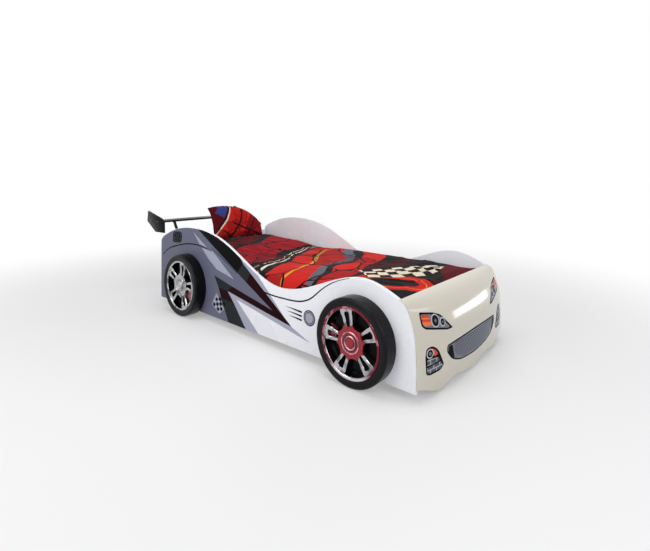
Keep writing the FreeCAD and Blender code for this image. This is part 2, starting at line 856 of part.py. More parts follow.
def duvet_section(x):
    """A closed cut across the duvet: tucked sides, rounded edges and quilted channels on top."""
    wide = INNER_HALF - size("duvet_gap")
    inner = wide - size("duvet_side")
    under = MATTRESS_TOP + CLEAR
    low = MATTRESS_TOP - size("duvet_tuck")
    top = duvet_top(x)
    round_in = 0.8 * (top - under) + 8
    start = wide - round_in
    count = int(size("duvet_channels"))
    step = 2 * start / count

    def point(y, z):
        return Vector(x, y, z)

    def arc(first, middle, last):
        return Part.Arc(point(*first), point(*middle), point(*last)).toShape()

    def line(first, last):
        return Part.LineSegment(point(*first), point(*last)).toShape()

    edges = [line((-wide, low), (-wide, under - 4))]
    shoulder = (top + under) / 2 + 0.2 * (top - under)
    edges.append(arc((-wide, under - 4), (-wide + 0.22 * round_in, shoulder), (-start, top)))
    for i in range(count):
        y0, y1 = -start + i * step, -start + (i + 1) * step
        swell = 7.0 + 2.5 * math.sin(0.011 * x + 1.7 * i)
        edges.append(arc((y0, top), ((y0 + y1) / 2, top + swell), (y1, top)))
    edges.append(arc((start, top), (wide - 0.22 * round_in, shoulder), (wide, under - 4)))
    corners = [(wide, under - 4), (wide, low), (inner, low), (inner, under), (-inner, under), (-inner, low)]
    corners.append((-wide, low))
    edges += [line(corners[i], corners[i + 1]) for i in range(len(corners) - 1)]
    return Part.Wire(edges)


def duvet():
    head = size("panel_thickness") + size("mattress_end_gap")
    foot = FOOT_INNER - size("mattress_end_gap")
    stations = [head, head + 14, head + 60]
    parts = 11
    stations += [head + 60 + (foot - 26 - head - 60) * i / parts for i in range(1, parts + 1)]
    stations += [foot - 8, foot]
    part = doc.addObject("Part::Feature", "duvet")
    part.Shape = Part.makeLoft([duvet_section(x) for x in stations], True, True)
    part.Placement = Placement(Vector(REAR, 0, 0), Rotation())
    return keep(part, "duvet")


# Straight runs in each side of a pillow's section.
LENS_PARTS = 6


def lens_side(y, low, top, belly):
    """Marks along one side of a pillow's section, on an arc from its lower to its upper seam."""
    half = (top - low) / 2
    radius = (half**2 + belly**2) / (2 * belly)
    sweep = math.asin(half / radius)
    marks = []
    for i in range(LENS_PARTS + 1):
        turn = sweep * (2 * i / LENS_PARTS - 1)
        x = radius * math.cos(turn) - (radius - belly)
        marks.append(Vector(x, y, (top + low) / 2 + radius * math.sin(turn)))
    return marks


def flat_skin(rings):
    """A closed solid of flat faces through rings that have the same number of marks."""
    outlines = [rings[0], rings[-1]]
    for ring, following in zip(rings, rings[1:]):
        for i in range(len(ring)):
            outlines.append([ring[i - 1], ring[i], following[i]])
            outlines.append([ring[i - 1], following[i], following[i - 1]])
    faces = [Part.Face(Part.makePolygon(marks + marks[:1])) for marks in outlines]
    return Part.Solid(Part.makeShell(faces))


def pillow_form():
    """Lens-shaped sections across a pillow, tall in the middle, its left corner slumped."""
    wide, tall, thick = size("pillow_width"), size("pillow_height"), size("pillow_thickness")
    seam = size("pillow_seam") / 2
    sections = []
    for share in (-1.0, -0.95, -0.86, -0.7, -0.45, -0.15, 0.15, 0.45, 0.7, 0.86, 0.95, 1.0):
        y = share * wide / 2
        crown = (1 - min(abs(share), 0.985) ** 5) ** 0.2
        top = tall / 2 * crown - size("pillow_droop") * ((share + 1) / 2) ** 2
        low = -tall / 2 * crown
        belly = seam + (thick / 2 - seam) * math.sqrt(max(1 - abs(share) ** 2.2, 0.0))
        belly = min(belly, 0.42 * (top - low))
        front = lens_side(y, low, top, belly)
        back = [Vector(-p.x, p.y, p.z) for p in reversed(front[:-1])]
        sections.append(front + back[:-1])
    return flat_skin(sections)


def slide(shape, direction, furthest, others):
    """Move a shape along a direction, as far as the fit clearance to the others lets it go."""
    near, far = 0.0, furthest
    for _ in range(12):
        step = (near + far) / 2
        moved = shape.copy()
        moved.translate(direction * step)
        if min(moved.distToShape(other)[0] for other in others) < CLEAR:
            far = step
        else:
            near = step
    shape.translate(direction * near)


def pillow(cover, head_board):
    """The pillow leans back: it stands on the duvet and rests on the head panel."""
    tall, thick = size("pillow_height"), size("pillow_thickness")
    form = pillow_form()
    lift = MATTRESS_TOP + size("duvet_loft") + 0.8 * tall
    place = Vector(REAR + size("panel_thickness") + tall, size("pillow_y"), lift)
    form.Placement = Placement(place, Rotation(Vector(0, 1, 0), -size("pillow_lean")))
    others = (cover, head_board)
    slide(form, Vector(0, 0, -1), tall / 2, others)
    form.translate(Vector(0, 0, size("duvet_fold")))
    slide(form, Vector(-1, 0, 0), tall + thick, others)
    slide(form, Vector(0, 0, -1), tall / 4, others)
    part = doc.addObject("Part::Feature", "pillow")
    part.Shape = form
    return keep(part, "pillow")


mattress()
cover = duvet()
doc.recompute()
pillow(cover.Shape, doc.getObject("head_board").Shape)

# ---------------------------------------------------------------- write


def check_and_write():
    doc.recompute()
    for obj in doc.Objects:
        if "Invalid" in obj.State or "Error" in obj.State:
            raise RuntimeError(f"{obj.Label} did not build: {obj.State}")
    for obj in exported:
        if obj.Shape.isNull() or not obj.Shape.isValid():
            raise RuntimeError(f"{obj.Label} has no valid shape")
    os.makedirs("parts", exist_ok=True)
    for obj in exported:
        obj.Shape.exportStep(f"parts/{obj.Label}.step")
        box = obj.Shape.BoundBox
        print(
            f"{obj.Label:22s} solids {len(obj.Shape.Solids):3d} volume {obj.Shape.Volume / 1000:10.1f} cm3"
            f"  x {box.XMin:8.1f} {box.XMax:8.1f}  y {box.YMin:7.1f} {box.YMax:7.1f}"
            f"  z {box.ZMin:6.1f} {box.ZMax:6.1f}"
        )


check_and_write()
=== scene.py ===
"""The looks of a car bed for children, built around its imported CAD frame. Lengths are in metres."""

import math
from contextlib import contextmanager

import bmesh
import bpy
import numpy as np
from mathutils import Matrix, Vector, noise
from mathutils.geometry import tessellate_polygon


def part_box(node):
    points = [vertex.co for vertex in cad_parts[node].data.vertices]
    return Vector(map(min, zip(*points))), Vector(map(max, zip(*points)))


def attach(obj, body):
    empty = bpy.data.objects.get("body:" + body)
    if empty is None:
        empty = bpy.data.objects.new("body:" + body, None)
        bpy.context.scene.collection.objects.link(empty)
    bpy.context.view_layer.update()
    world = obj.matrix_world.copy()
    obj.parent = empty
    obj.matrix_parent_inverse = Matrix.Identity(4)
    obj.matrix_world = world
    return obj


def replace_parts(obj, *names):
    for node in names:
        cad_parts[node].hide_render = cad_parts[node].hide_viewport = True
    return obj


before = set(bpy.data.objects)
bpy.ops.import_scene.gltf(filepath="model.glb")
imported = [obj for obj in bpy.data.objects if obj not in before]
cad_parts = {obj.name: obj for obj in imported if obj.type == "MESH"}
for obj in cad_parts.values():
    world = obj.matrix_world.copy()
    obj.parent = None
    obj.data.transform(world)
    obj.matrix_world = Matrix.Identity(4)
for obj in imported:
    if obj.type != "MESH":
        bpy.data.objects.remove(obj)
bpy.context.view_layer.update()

# Distances along the bed are counted from the rear edge of the side panels.
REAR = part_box("side_panel_right")[0].x
HALF_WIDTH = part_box("side_panel_left")[1].y
FLAT_UP = Vector((0, 0, 1))


# ---------------------------------------------------------------- camera


def set_camera():
    """The camera of the photograph, solved from the bed's own edges."""
    yaw, pitch, roll = 2.25598804, 0.0293720, 0.0134021
    ahead = Vector((math.cos(yaw) * math.cos(pitch), math.sin(yaw) * math.cos(pitch), -math.sin(pitch)))
    level = Vector((math.sin(yaw), -math.cos(yaw), 0))
    upright = level.cross(ahead)
    right = math.cos(roll) * level + math.sin(roll) * upright
    up = -math.sin(roll) * level + math.cos(roll) * upright
    lens = bpy.data.cameras.new("photo_view")
    lens.sensor_width = 36.0
    lens.lens = 23.529
    lens.shift_x, lens.shift_y = -0.0363, -0.1380
    camera = bpy.data.objects.new("photo_view", lens)
    turn = Matrix((right, up, -ahead)).transposed().to_4x4()
    camera.matrix_world = Matrix.Translation((2.0771, -1.9897, 0.9479)) @ turn
    bpy.context.scene.collection.objects.link(camera)
    bpy.context.scene.camera = camera


# ---------------------------------------------------------------- finishes


def paint(red, green, blue):
    """A colour given in the 0 to 255 steps of a paint chart."""

    def linear(step):
        return step / 255 / 12.92 if step < 10.3 else ((step / 255 + 0.055) / 1.055) ** 2.4

    return tuple(linear(step) for step in (red, green, blue)) + (1.0,)


def shaded(colour, share):
    """A colour darkened to a share of itself."""
    return tuple(c * share for c in colour[:3]) + (1.0,)


class Flow:
    """A value on its way through a material: operators on it add Math nodes."""

    def __init__(self, maker, socket):
        self.maker, self.socket = maker, socket

    def math(self, operation, *values):
        """One Math node fed with the values."""
        return self.maker.node("ShaderNodeMath", {"operation": operation}, dict(enumerate(values)))

    def __add__(self, other):
        return self.math("ADD", self, other)

    def __sub__(self, other):
        return self.math("SUBTRACT", self, other)

    def __mul__(self, other):
        return self.math("MULTIPLY", self, other)

    def __truediv__(self, other):
        return self.math("DIVIDE", self, other)

    def __mod__(self, other):
        return self.math("FLOORED_MODULO", self, other)

    def __lt__(self, other):
        return self.math("LESS_THAN", self, other)

    def __gt__(self, other):
        return self.math("GREATER_THAN", self, other)

    def __abs__(self):
        return self.math("ABSOLUTE", self)

    __radd__ = __add__

    def sine(self):
        return self.math("SINE", self)

    def fade(self, start, end, low=0.0, high=1.0):
        """Low before start, high after end, and a smooth change between them."""
        values = {0: self, 1: start, 2: end, 3: low, 4: high}
        return self.maker.node("ShaderNodeMapRange", {"interpolation_type": "SMOOTHSTEP"}, values)


class Nodes:
    """Adds nodes to a material's or the surround's node tree."""

    def __init__(self, tree):
        self.tree = tree

    def feed(self, socket, value):
        """Links a flow to a socket, or sets the socket's own value."""
        if isinstance(value, Flow):
            self.tree.links.new(value.socket, socket)
        else:
            socket.default_value = value

    def node(self, kind, settings, values, output=0):
        """One node: its settings first, then the values or links of its sockets."""
        node = self.tree.nodes.new(kind)
        for name, value in settings.items():
            setattr(node, name, value)
        for name, value in values.items():
            self.feed(node.inputs[name], value)
        return Flow(self, node.outputs[output])

    def mix(self, factor, first, second):
        """The first colour where the factor is 0, the second where it is 1."""
        return self.node("ShaderNodeMix", {"data_type": "RGBA"}, {0: factor, 6: first, 7: second}, 2)

    def ramp(self, value, stops, between="LINEAR"):
        """Colours at stops along a value."""
        flow = self.node("ShaderNodeValToRGB", {}, {0: value})
        ramp = flow.socket.node.color_ramp
        ramp.interpolation = between
        for _ in stops[2:]:
            ramp.elements.new(0.5)
        for stop, (position, colour) in zip(ramp.elements, stops):
            stop.position, stop.color = position, colour
        return flow

    def vector(self, operation, *values, output=0):
        """One Vector Math node fed with the values."""
        return self.node("ShaderNodeVectorMath", {"operation": operation}, dict(enumerate(values)), output)

    def backdrop_share(self):
        """1 for rays from the camera, a mirror or a glass, which see the backdrop at full white."""
        kinds = ("Camera", "Glossy", "Transmission")
        camera, mirror, glass = (self.node("ShaderNodeLightPath", {}, {}, f"Is {kind} Ray") for kind in kinds)
        seen = camera + mirror + glass
        return seen.math("MINIMUM", seen, 1.0)

    def axes(self, place):
        """The x, y and z of a vector."""
        split = self.node("ShaderNodeSeparateXYZ", {}, {0: place})
        return [Flow(self, output) for output in split.socket.node.outputs]


class Finish(Nodes):
    """A material made of nodes that end in one Principled shader."""

    def __init__(self, name, colour, roughness, **sockets):
        self.material = bpy.data.materials.new(name)
        self.material.use_nodes = True
        super().__init__(self.material.node_tree)
        self.shader = self.tree.nodes["Principled BSDF"]
        self.set(Base_Color=colour, Roughness=roughness, **sockets)
        self.place = self.node("ShaderNodeTexCoord", {}, {}, "Object")

    def set(self, **sockets):
        """Values or links of the shader's sockets; an underscore stands for a space in a socket's name."""
        for name, value in sockets.items():
            self.feed(self.shader.inputs[name.replace("_", " ")], value)

    def stretched(self, *scale):
        """The place on the object, scaled along each axis."""
        return self.vector("MULTIPLY", self.place, scale)

    def cloud(self, scale, detail=2.0, rough=0.5, place=None, twist=0.0):
        """Soft random patches, 0 to 1."""
        values = {"Scale": scale, "Detail": detail, "Roughness": rough, "Distortion": twist}
        return self.node("ShaderNodeTexNoise", {}, {"Vector": place or self.place, **values})

    def relief(self, height, depth):
        """Small bumps: depth is how far a height of 1 stands up."""
        self.set(Normal=self.node("ShaderNodeBump", {}, {"Strength": 1.0, "Distance": depth, "Height": height}))
        return self


def lacquer(name, colour, roughness=0.26, coat=0.25, mottle=0.03, shine=0.5):
    """Sprayed or printed gloss: a trace of orange peel, and patches a little duller where hands rub."""
    finish = Finish(name, colour, roughness, Coat_Weight=coat, Coat_Roughness=0.08, Specular_IOR_Level=shine)
    patches = finish.cloud(3.1, 4.0, 0.6)
    finish.set(
        Base_Color=finish.mix(patches, shaded(colour, 1 - mottle), colour),
        Roughness=patches.fade(0.3, 0.75, roughness - 0.05, roughness + 0.08),
    )
    return finish.relief(finish.cloud(420.0, 2.0), 0.00004)


def plated(name, colour=(0.5, 0.5, 0.52, 1.0), roughness=0.07):
    """Bright plating over moulded plastic, with faint smears and darker patches that are painted dark reflections."""
    finish = Finish(name, colour, roughness, Metallic=1.0)
    smear = finish.cloud(26.0, 5.0, 0.65, twist=0.8)
    painted_dark_reflection = finish.cloud(16.0, 1.0, 0.4, twist=1.0)
    # The darker patches are painted dark reflections.
    finish.set(Base_Color=finish.mix(painted_dark_reflection.fade(0.36, 0.54), shaded(colour, 0.36), colour))
    finish.set(Roughness=smear.fade(0.35, 0.8, roughness, roughness + 0.13))
    return finish.relief(finish.cloud(60.0, 1.0), 0.00012)


def lip_plating_painted_reflection():
    """Red-tinted plating on the front rims' lips, with a painted pale reflection low on the wheel."""
    finish = plated("lip_rose", paint(150, 58, 76), 0.12)
    height = finish.axes(finish.place)[2]
    red = finish.mix(finish.cloud(24.0, 2.0).fade(0.5, 0.58), paint(118, 42, 56), paint(182, 118, 130))
    # Painted reflection: below about 0.1 m up, the lip turns pale and near-white.
    finish.set(Base_Color=finish.mix(height.fade(0.055, 0.1), paint(222, 214, 218), red))
    return finish


def moulded(name, colour, roughness, grain=0.00008, scale=900.0, shine=0.3):
    """Plain moulded plastic with a fine grain and worn, greyer patches."""
    finish = Finish(name, colour, roughness, Specular_IOR_Level=shine)
    wear = finish.cloud(9.0, 5.0, 0.6)
    pale = tuple(min(1.0, c * 1.4 + 0.002) for c in colour[:3]) + (1.0,)
    finish.set(
        Base_Color=finish.mix(wear.fade(0.5, 0.8), colour, pale),
        Roughness=wear.fade(0.3, 0.75, roughness - 0.06, roughness + 0.1),
    )
    return finish.relief(finish.cloud(scale, 2.0), grain)


def timber(name, pale, dark, along, roughness=0.55):
    """Planed wood: long grain along one axis, with pores."""
    finish = Finish(name, pale, roughness)
    across = [1.0 if axis == along else 16.0 for axis in range(3)]
    figure = finish.cloud(3.4, 6.0, 0.62, finish.stretched(*across), 0.35)
    fine = [0.06 if axis == along else 3.0 for axis in range(3)]
    pores = finish.cloud(60.0, 3.0, 0.6, finish.stretched(*fine))
    middle = tuple(0.8 * a + 0.2 * b for a, b in zip(pale, dark))
    wood = finish.ramp(figure, [(0.3, dark), (0.47, pale), (0.56, middle), (0.75, pale)])
    finish.set(
        Base_Color=finish.mix(pores.fade(0.55, 0.8, 0.0, 0.4), wood, dark),
        Roughness=figure.fade(0.2, 0.8, roughness - 0.1, roughness + 0.1),
    )
    return finish.relief(pores, 0.00012)


BLACK, CHARCOAL, GREY = paint(15, 13, 16), paint(38, 36, 41), paint(98, 100, 112)
RED, DEEP, BRIGHT = paint(152, 22, 33), paint(88, 10, 21), paint(204, 36, 31)
CREAM, YELLOW, BLUE = paint(236, 222, 198), paint(228, 172, 44), paint(52, 66, 138)


def print_ground(name):
    """Cotton cloth for a print, with its place bent by a slow drift so that no edge runs dead straight."""
    finish = Finish(name, RED, 0.8, Sheen_Weight=0.02, Sheen_Roughness=0.5, Specular_IOR_Level=0.08)
    drift = finish.node("ShaderNodeTexNoise", {}, {"Vector": finish.place, "Scale": 2.1, "Detail": 1.0}, "Color")
    shift = finish.vector("SUBTRACT", drift, (0.5, 0.5, 0.5))
    return finish, finish.vector("MULTIPLY_ADD", shift, (0.34, 0.34, 0.34), finish.place)


def plated_print(finish, bent, colour, scale, width):
    """Black outlines of irregular plates over a print, and plates a shade apart from one another."""
    values = {"Vector": bent, "Scale": scale, "Randomness": 0.9}
    edge = finish.node("ShaderNodeTexVoronoi", {"feature": "DISTANCE_TO_EDGE"}, values)
    tone = finish.node("ShaderNodeTexVoronoi", {}, values, "Color")
    shade = finish.axes(tone)[0]
    toned = finish.mix(shade.fade(0.55, 0.6, 0.0, 0.42), colour, DEEP)
    return finish.mix(edge < width, toned, BLACK)


def washed(finish, colour, dark, scale, roughness):
    """Ends a print: soft darker patches from washing, a little rougher where they are."""
    wash = finish.cloud(scale, 3.0)
    finish.set(
        Base_Color=finish.mix(wash.fade(0.35, 0.85, 0.0, 0.2), colour, dark),
        Roughness=wash.fade(0.2, 0.8, roughness, roughness + 0.16),
    )
    return finish


def duvet_print():
    """A racing print along the bed: red plates, black sweeps with cream lines, a ring and a wavy chequered ribbon."""
    finish, bent = print_ground("duvet_print")
    x, y, z = finish.axes(bent)
    along = (x - REAR + y * 0.45) / 2.1
    stops = [(0.0, BLACK), (0.07, DEEP), (0.15, BLACK), (0.185, RED), (0.355, BLACK)]
    stops += [(0.392, CREAM), (0.398, BLACK), (0.412, CREAM), (0.42, BLACK), (0.445, BRIGHT), (0.52, YELLOW)]
    stops += [(0.532, BRIGHT), (0.60, GREY), (0.622, BLACK), (0.637, BRIGHT), (0.70, BLACK)]
    colour = plated_print(finish, bent, finish.ramp(along, stops, "CONSTANT"), 4.6, 0.022)
    offset = finish.vector("SUBTRACT", bent, (0.93, -0.25, 0.0))
    away = finish.vector("LENGTH", finish.vector("MULTIPLY", offset, (1.0, 1.15, 0.0)), output="Value")
    bands = [(0.0, BLACK), (0.115, BRIGHT), (0.150, YELLOW), (0.156, BRIGHT), (0.205, BLACK)]
    ring = finish.ramp(away, bands, "CONSTANT")
    colour = finish.mix(away < 0.225, colour, ring)
    # The ribbon runs slantwise over the foot, four squares deep.
    run = x * 0.62 + y * 0.78
    depth = x * 0.78 - y * 0.62 - 0.60 + (run * 9.0).sine() * 0.018
    squares = ((run / 0.062) % 2.0 > 1.0) + ((depth / 0.05) % 2.0 > 1.0)
    inside = (abs(depth - 0.05) < 0.1) * (abs(run - 0.66) < 0.36)
    ribbon = finish.mix(abs(squares - 1.0) < 0.5, BLACK, CREAM)
    colour = finish.mix(inside, colour, ribbon)
    colour = finish.mix((x + y * 0.5) > 1.13, colour, DEEP)
    return washed(finish, colour, CHARCOAL, 5.0, 0.72)


def pillow_print():
    """The pillow's print: a dark end, a cream and black sweep, and bright red with slanted flashes."""
    finish, bent = print_ground("pillow_print")
    x, y, z = finish.axes(bent)
    across = y + 0.186 + (z - 0.53) * -0.9
    stops = [(0.0, DEEP), (0.115, BLACK), (0.13, CREAM), (0.143, BRIGHT), (0.25, BLACK)]
    stops += [(0.268, BRIGHT), (0.37, RED), (0.44, BLACK), (0.46, RED)]
    colour = plated_print(finish, bent, finish.ramp(across, stops, "CONSTANT"), 9.0, 0.012)
    slant = (y * 2.2 + z * 3.1) % 0.5
    flash = (slant < 0.05) * (across > 0.16) * (z < 0.6)
    colour = finish.mix(flash, colour, BLACK)
    top = (z + y * 0.2 + (y * 40.0).sine() * 0.006 > 0.632) * (across > 0.03) * (across < 0.112)
    colour = finish.mix(top, colour, BLUE)
    return washed(finish, colour, DEEP, 9.0, 0.7)


def woven(finish, pitch=0.0016, depth=0.00018):
    """Adds a plain weave to a cloth."""
    x, y, z = finish.axes(finish.place)
    weave = (x * (math.tau / pitch)).sine() * ((y + z) * (math.tau / pitch)).sine()
    return finish.relief(weave * 0.5 + finish.cloud(340.0, 3.0), depth)


def mesh_grille(name, ground, wire, pitch):
    """Printed grille: rows of slots with thin lighter wires."""
    finish = Finish(name, ground, 0.3, Specular_IOR_Level=0.15)
    x, y, z = finish.axes(finish.place)
    row = (z / pitch - ((z / pitch) % 1.0)) % 2.0
    upright = abs(((y / (2 * pitch) + row * 0.5) % 1.0) - 0.5) > 0.42
    level = abs(((z / pitch) % 1.0) - 0.5) > 0.36
    lines = (upright + level) > 0.5
    finish.set(Base_Color=finish.mix(lines, ground, wire))
    return finish.relief(finish.cloud(300.0), 0.00003)


# Each row: colour, roughness, weight of the clear coat, how far the patches are duller, strength of the shine.
LACQUERS = {
    "panel_white": ((240, 241, 247),),
    "board_white": ((229, 240, 253), 0.34, 0.1),
    "film_slate": ((103, 105, 126), 0.3, 0.0, 0.12, 0.12),
    "film_mist": ((164, 166, 186), 0.3, 0.0, 0.06, 0.25),
    "film_black": ((8, 7, 10), 0.24, 0.0, 0.3, 0.03),
    "film_charcoal": ((38, 41, 44), 0.28, 0.0, 0.25, 0.05),
    "film_maroon": ((36, 5, 10), 0.26, 0.0, 0.3, 0.03),
    "film_grey": ((118, 121, 134), 0.3, 0.0, 0.06, 0.2),
    "film_pale": ((205, 206, 212), 0.3, 0.0, 0.06, 0.2),
    "film_orange": ((206, 58, 34), 0.26, 0.0, 0.08, 0.25),
    "film_amber": ((236, 122, 74), 0.26, 0.0, 0.08, 0.25),
    "nose_gloss": ((210, 204, 189), 0.16, 0.7, 0.02, 0.4),
    "ring_maroon": ((112, 30, 46), 0.18, 0.6, 0.1),
    "cap_red": ((148, 16, 34), 0.2, 0.25, 0.08, 0.3),
    "wing_black": ((11, 11, 14), 0.3, 0.0, 0.2, 0.08),
}
PINE = (paint(222, 190, 142), paint(176, 128, 78))
BIRCH = (paint(232, 208, 168), paint(196, 156, 106))
finishes = {name: lacquer(name, paint(*colour), *rest) for name, (colour, *rest) in LACQUERS.items()}
finishes |= {
    "tyre_black": moulded("tyre_black", paint(15, 15, 18), 0.24, 0.00005, 700.0, 0.14),
    "core_black": moulded("core_black", paint(9, 8, 10), 0.24, 0.00003, 900.0, 0.06),
    "strut_black": moulded("strut_black", paint(14, 14, 17), 0.34, 0.00003, 900.0, 0.1),
    "chrome": plated("chrome"),
    # The rose tint of the front hub rings' chrome is a painted reflection of the red hub.
    "chrome_painted_red_reflection": plated("chrome_painted_red_reflection", paint(220, 168, 178), 0.09),
    "lip_rose": lip_plating_painted_reflection(),
    "screw_steel": plated("screw_steel", (0.16, 0.16, 0.17, 1.0), 0.34),
    "zinc_steel": plated("zinc_steel", (0.6, 0.62, 0.64, 1.0), 0.3),
    "pine": timber("pine", *PINE, 0),
    "pine_cross": timber("pine_cross", *PINE, 1),
    "birch": timber("birch", *BIRCH, 1, 0.5),
    "webbing": woven(moulded("webbing", paint(205, 202, 192), 0.85), 0.004, 0.0005),
    "ticking": woven(moulded("ticking", paint(232, 232, 230), 0.82), 0.0018, 0.0002),
    "piping_cloth": woven(moulded("piping_cloth", paint(196, 198, 206), 0.8), 0.0018, 0.0002),
    "duvet_print": woven(duvet_print()),
    "pillow_print": woven(pillow_print()),
    "grille_mesh": mesh_grille("grille_mesh", paint(58, 64, 78), paint(128, 134, 148), 0.0115),
    "lamp_mesh": mesh_grille("lamp_mesh", paint(74, 78, 88), paint(168, 170, 180), 0.021),
}


# ---------------------------------------------------------------- making pieces


def add_piece(name, mesh, finish, body="bed", crease=35.0):
    """Put a mesh in the scene as a piece that rides on a body, creased where its faces meet sharply."""
    obj = bpy.data.objects.new(name, mesh)
    bpy.context.scene.collection.objects.link(obj)
    mesh.materials.clear()
    mesh.materials.append(finishes[finish].material)
    mesh.shade_smooth()
    mesh.set_sharp_from_angle(angle=math.radians(crease))
    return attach(obj, body)


@contextmanager
def reworked(mesh):
    """Opens a mesh for changes, and writes them back at the end."""
    work = bmesh.new()
    work.from_mesh(mesh)
    yield work
    work.to_mesh(mesh)
    work.free()


def mesh_of(points, faces):
    """A mesh with doubled points merged and its faces turned outwards."""
    mesh = bpy.data.meshes.new("form")
    mesh.from_pydata([tuple(p) for p in points], [], [tuple(f) for f in faces])
    mesh.validate()
    with reworked(mesh) as work:
        bmesh.ops.remove_doubles(work, verts=work.verts, dist=1e-6)
        bmesh.ops.recalc_face_normals(work, faces=work.faces)
    return mesh


def joined(meshes):
    """Several meshes in one."""
    whole = bpy.data.meshes.new("form")
    with reworked(whole) as work:
        for mesh in meshes:
            work.from_mesh(mesh)
    return whole


def ring_faces(rings, count, closed=True):
    """Four-sided faces between rings of points; the last ring also meets the first where closed."""
    faces = []
    for k in range(rings if closed else rings - 1):
        near, far = k * count, (k + 1) % rings * count
        for i in range(count):
            after = (i + 1) % count
            faces.append((near + i, near + after, far + after, far + i))
    return faces


def sheet_faces(long, wide):
    """Faces of two sheets of long by wide cells, their points one sheet after the other, closed round the edges."""
    row, shift = wide + 1, (long + 1) * (wide + 1)
    faces = []
    for i in range(long):
        for a in range(i * row, i * row + wide):
            b = a + shift
            faces += [(a, a + 1, a + row + 1, a + row), (b, b + row, b + row + 1, b + 1)]
        faces += [(a, a + row, a + row + shift, a + shift) for a in (i * row, i * row + wide)]
    for j in range(wide):
        faces += [(a, a + 1, a + 1 + shift, a + shift) for a in (j, long * row + j)]
    return faces


def circle(count):
    """The cosines and sines of evenly spaced turns."""
    return [(math.cos(math.tau * i / count), math.sin(math.tau * i / count)) for i in range(count)]


def baked(obj):
    """The mesh of an object after its modifiers; the object itself goes."""
    result = bpy.data.meshes.new_from_object(obj.evaluated_get(bpy.context.evaluated_depsgraph_get()))
    bpy.data.objects.remove(obj)
    return result


def worked(mesh, kind, **settings):
    """The mesh after one of Blender's modifiers."""
    obj = bpy.data.objects.new("work", mesh)
    bpy.context.scene.collection.objects.link(obj)
    modifier = obj.modifiers.new("work", kind)
    for name, value in settings.items():
        setattr(modifier, name, value)
    return baked(obj)


def clean_copy(node):
    """A copy of a CAD node's mesh with its flat faces whole again."""
    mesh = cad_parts[node].data.copy()
    with reworked(mesh) as work:
        bmesh.ops.remove_doubles(work, verts=work.verts, dist=1e-5)
        bmesh.ops.dissolve_limit(work, angle_limit=math.radians(0.4), verts=work.verts, edges=work.edges)
    return mesh


def eased(mesh, width, segments, sharp):
    """A mesh with its edges rounded where its faces meet at more than sharp degrees."""
    limit = math.radians(sharp)
    return worked(mesh, "BEVEL", width=width, segments=segments, limit_method="ANGLE", angle_limit=limit)


def softened(node, name, width, finish):
    """A CAD node's own shape with its sharp edges taken off, standing for that node."""
    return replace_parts(add_piece(name, eased(clean_copy(node), width, 2, 30), finish), node)


def turned_mesh(profile, steps=96):
    """A closed (radius, depth) profile turned about the depth axis."""
    points = [(radius * c, radius * s, depth) for c, s in circle(steps) for radius, depth in profile]
    return mesh_of(points, ring_faces(steps, len(profile)))


def turned(corners, steps=96, rounding=4):
    """A closed run of (radius, depth, rounding) corners turned about the depth axis."""
    return turned_mesh(rounded_run(corners, rounding), steps)


def rounded_run(corners, steps=4):
    """A closed run of corners (x, y, radius) with each corner rounded."""
    run = []
    count = len(corners)
    for i, (x, y, radius) in enumerate(corners):
        here = Vector((x, y))
        before = Vector(corners[i - 1][:2]) - here
        after = Vector(corners[(i + 1) % count][:2]) - here
        if radius <= 0 or before.length < 1e-9 or after.length < 1e-9:
            run.append((x, y))
            continue
        reach = min(radius, 0.45 * before.length, 0.45 * after.length)
        start, end = here + before.normalized() * reach, here + after.normalized() * reach
        for k in range(steps + 1):
            t = k / steps
            run.append(tuple((1 - t) ** 2 * start + 2 * t * (1 - t) * here + t**2 * end))
    return run


def smooth(u):
    """An even step from 0 to 1 that starts and ends gently."""
    u = min(max(u, 0.0), 1.0)
    return u * u * (3 - 2 * u)


def smooth_line(marks, count):
    """Evenly spaced points on the natural cubic line through the marks."""
    marks = np.array(marks, float)
    steps = np.r_[0, np.cumsum(np.linalg.norm(np.diff(marks, axis=0), axis=1))]
    gaps = np.diff(steps)
    size = len(marks)
    system, right = np.eye(size), np.zeros_like(marks)
    for i in range(1, size - 1):
        system[i, i - 1 : i + 2] = gaps[i - 1], 2 * (gaps[i - 1] + gaps[i]), gaps[i]
        right[i] = 6 * ((marks[i + 1] - marks[i]) / gaps[i] - (marks[i] - marks[i - 1]) / gaps[i - 1])
    bend = np.linalg.solve(system, right)
    at = np.linspace(0, steps[-1], count)
    i = np.clip(np.searchsorted(steps, at, "right") - 1, 0, size - 2)
    h = gaps[i][:, None]
    a, b = ((steps[i + 1] - at) / gaps[i])[:, None], ((at - steps[i]) / gaps[i])[:, None]
    return a * marks[i] + b * marks[i + 1] + ((a**3 - a) * bend[i] + (b**3 - b) * bend[i + 1]) * h**2 / 6


# ---------------------------------------------------------------- boards


def boards():
    """The panels and the base: the CAD's shapes with their edges eased."""
    for side in ("right", "left"):
        softened(f"side_panel_{side}", f"car_side_{side}", 0.0008, "panel_white")
        softened(f"nose_cleat_{side}", f"cleat_{side}", 0.001, "pine")
        softened(f"side_rail_{side}", f"long_rail_{side}", 0.0015, "pine")
    softened("head_panel", "head_board", 0.0015, "board_white")
    softened("foot_panel", "foot_board", 0.0015, "board_white")
    for end in ("head", "foot"):
        softened(f"{end}_rail", f"{end}_cross_rail", 0.0015, "pine_cross")
    softened("slats", "base_slats", 0.002, "birch")
    softened("slat_webbing", "slat_straps", 0.0004, "webbing")
    softened("corner_blocks", "glue_blocks", 0.002, "pine_cross")
    softened("corner_angles", "steel_angles", 0.0006, "zinc_steel")


# ---------------------------------------------------------------- printed films on the side panels

# Thickness of one film layer; each next film lies one layer higher.
FILM = 0.00018


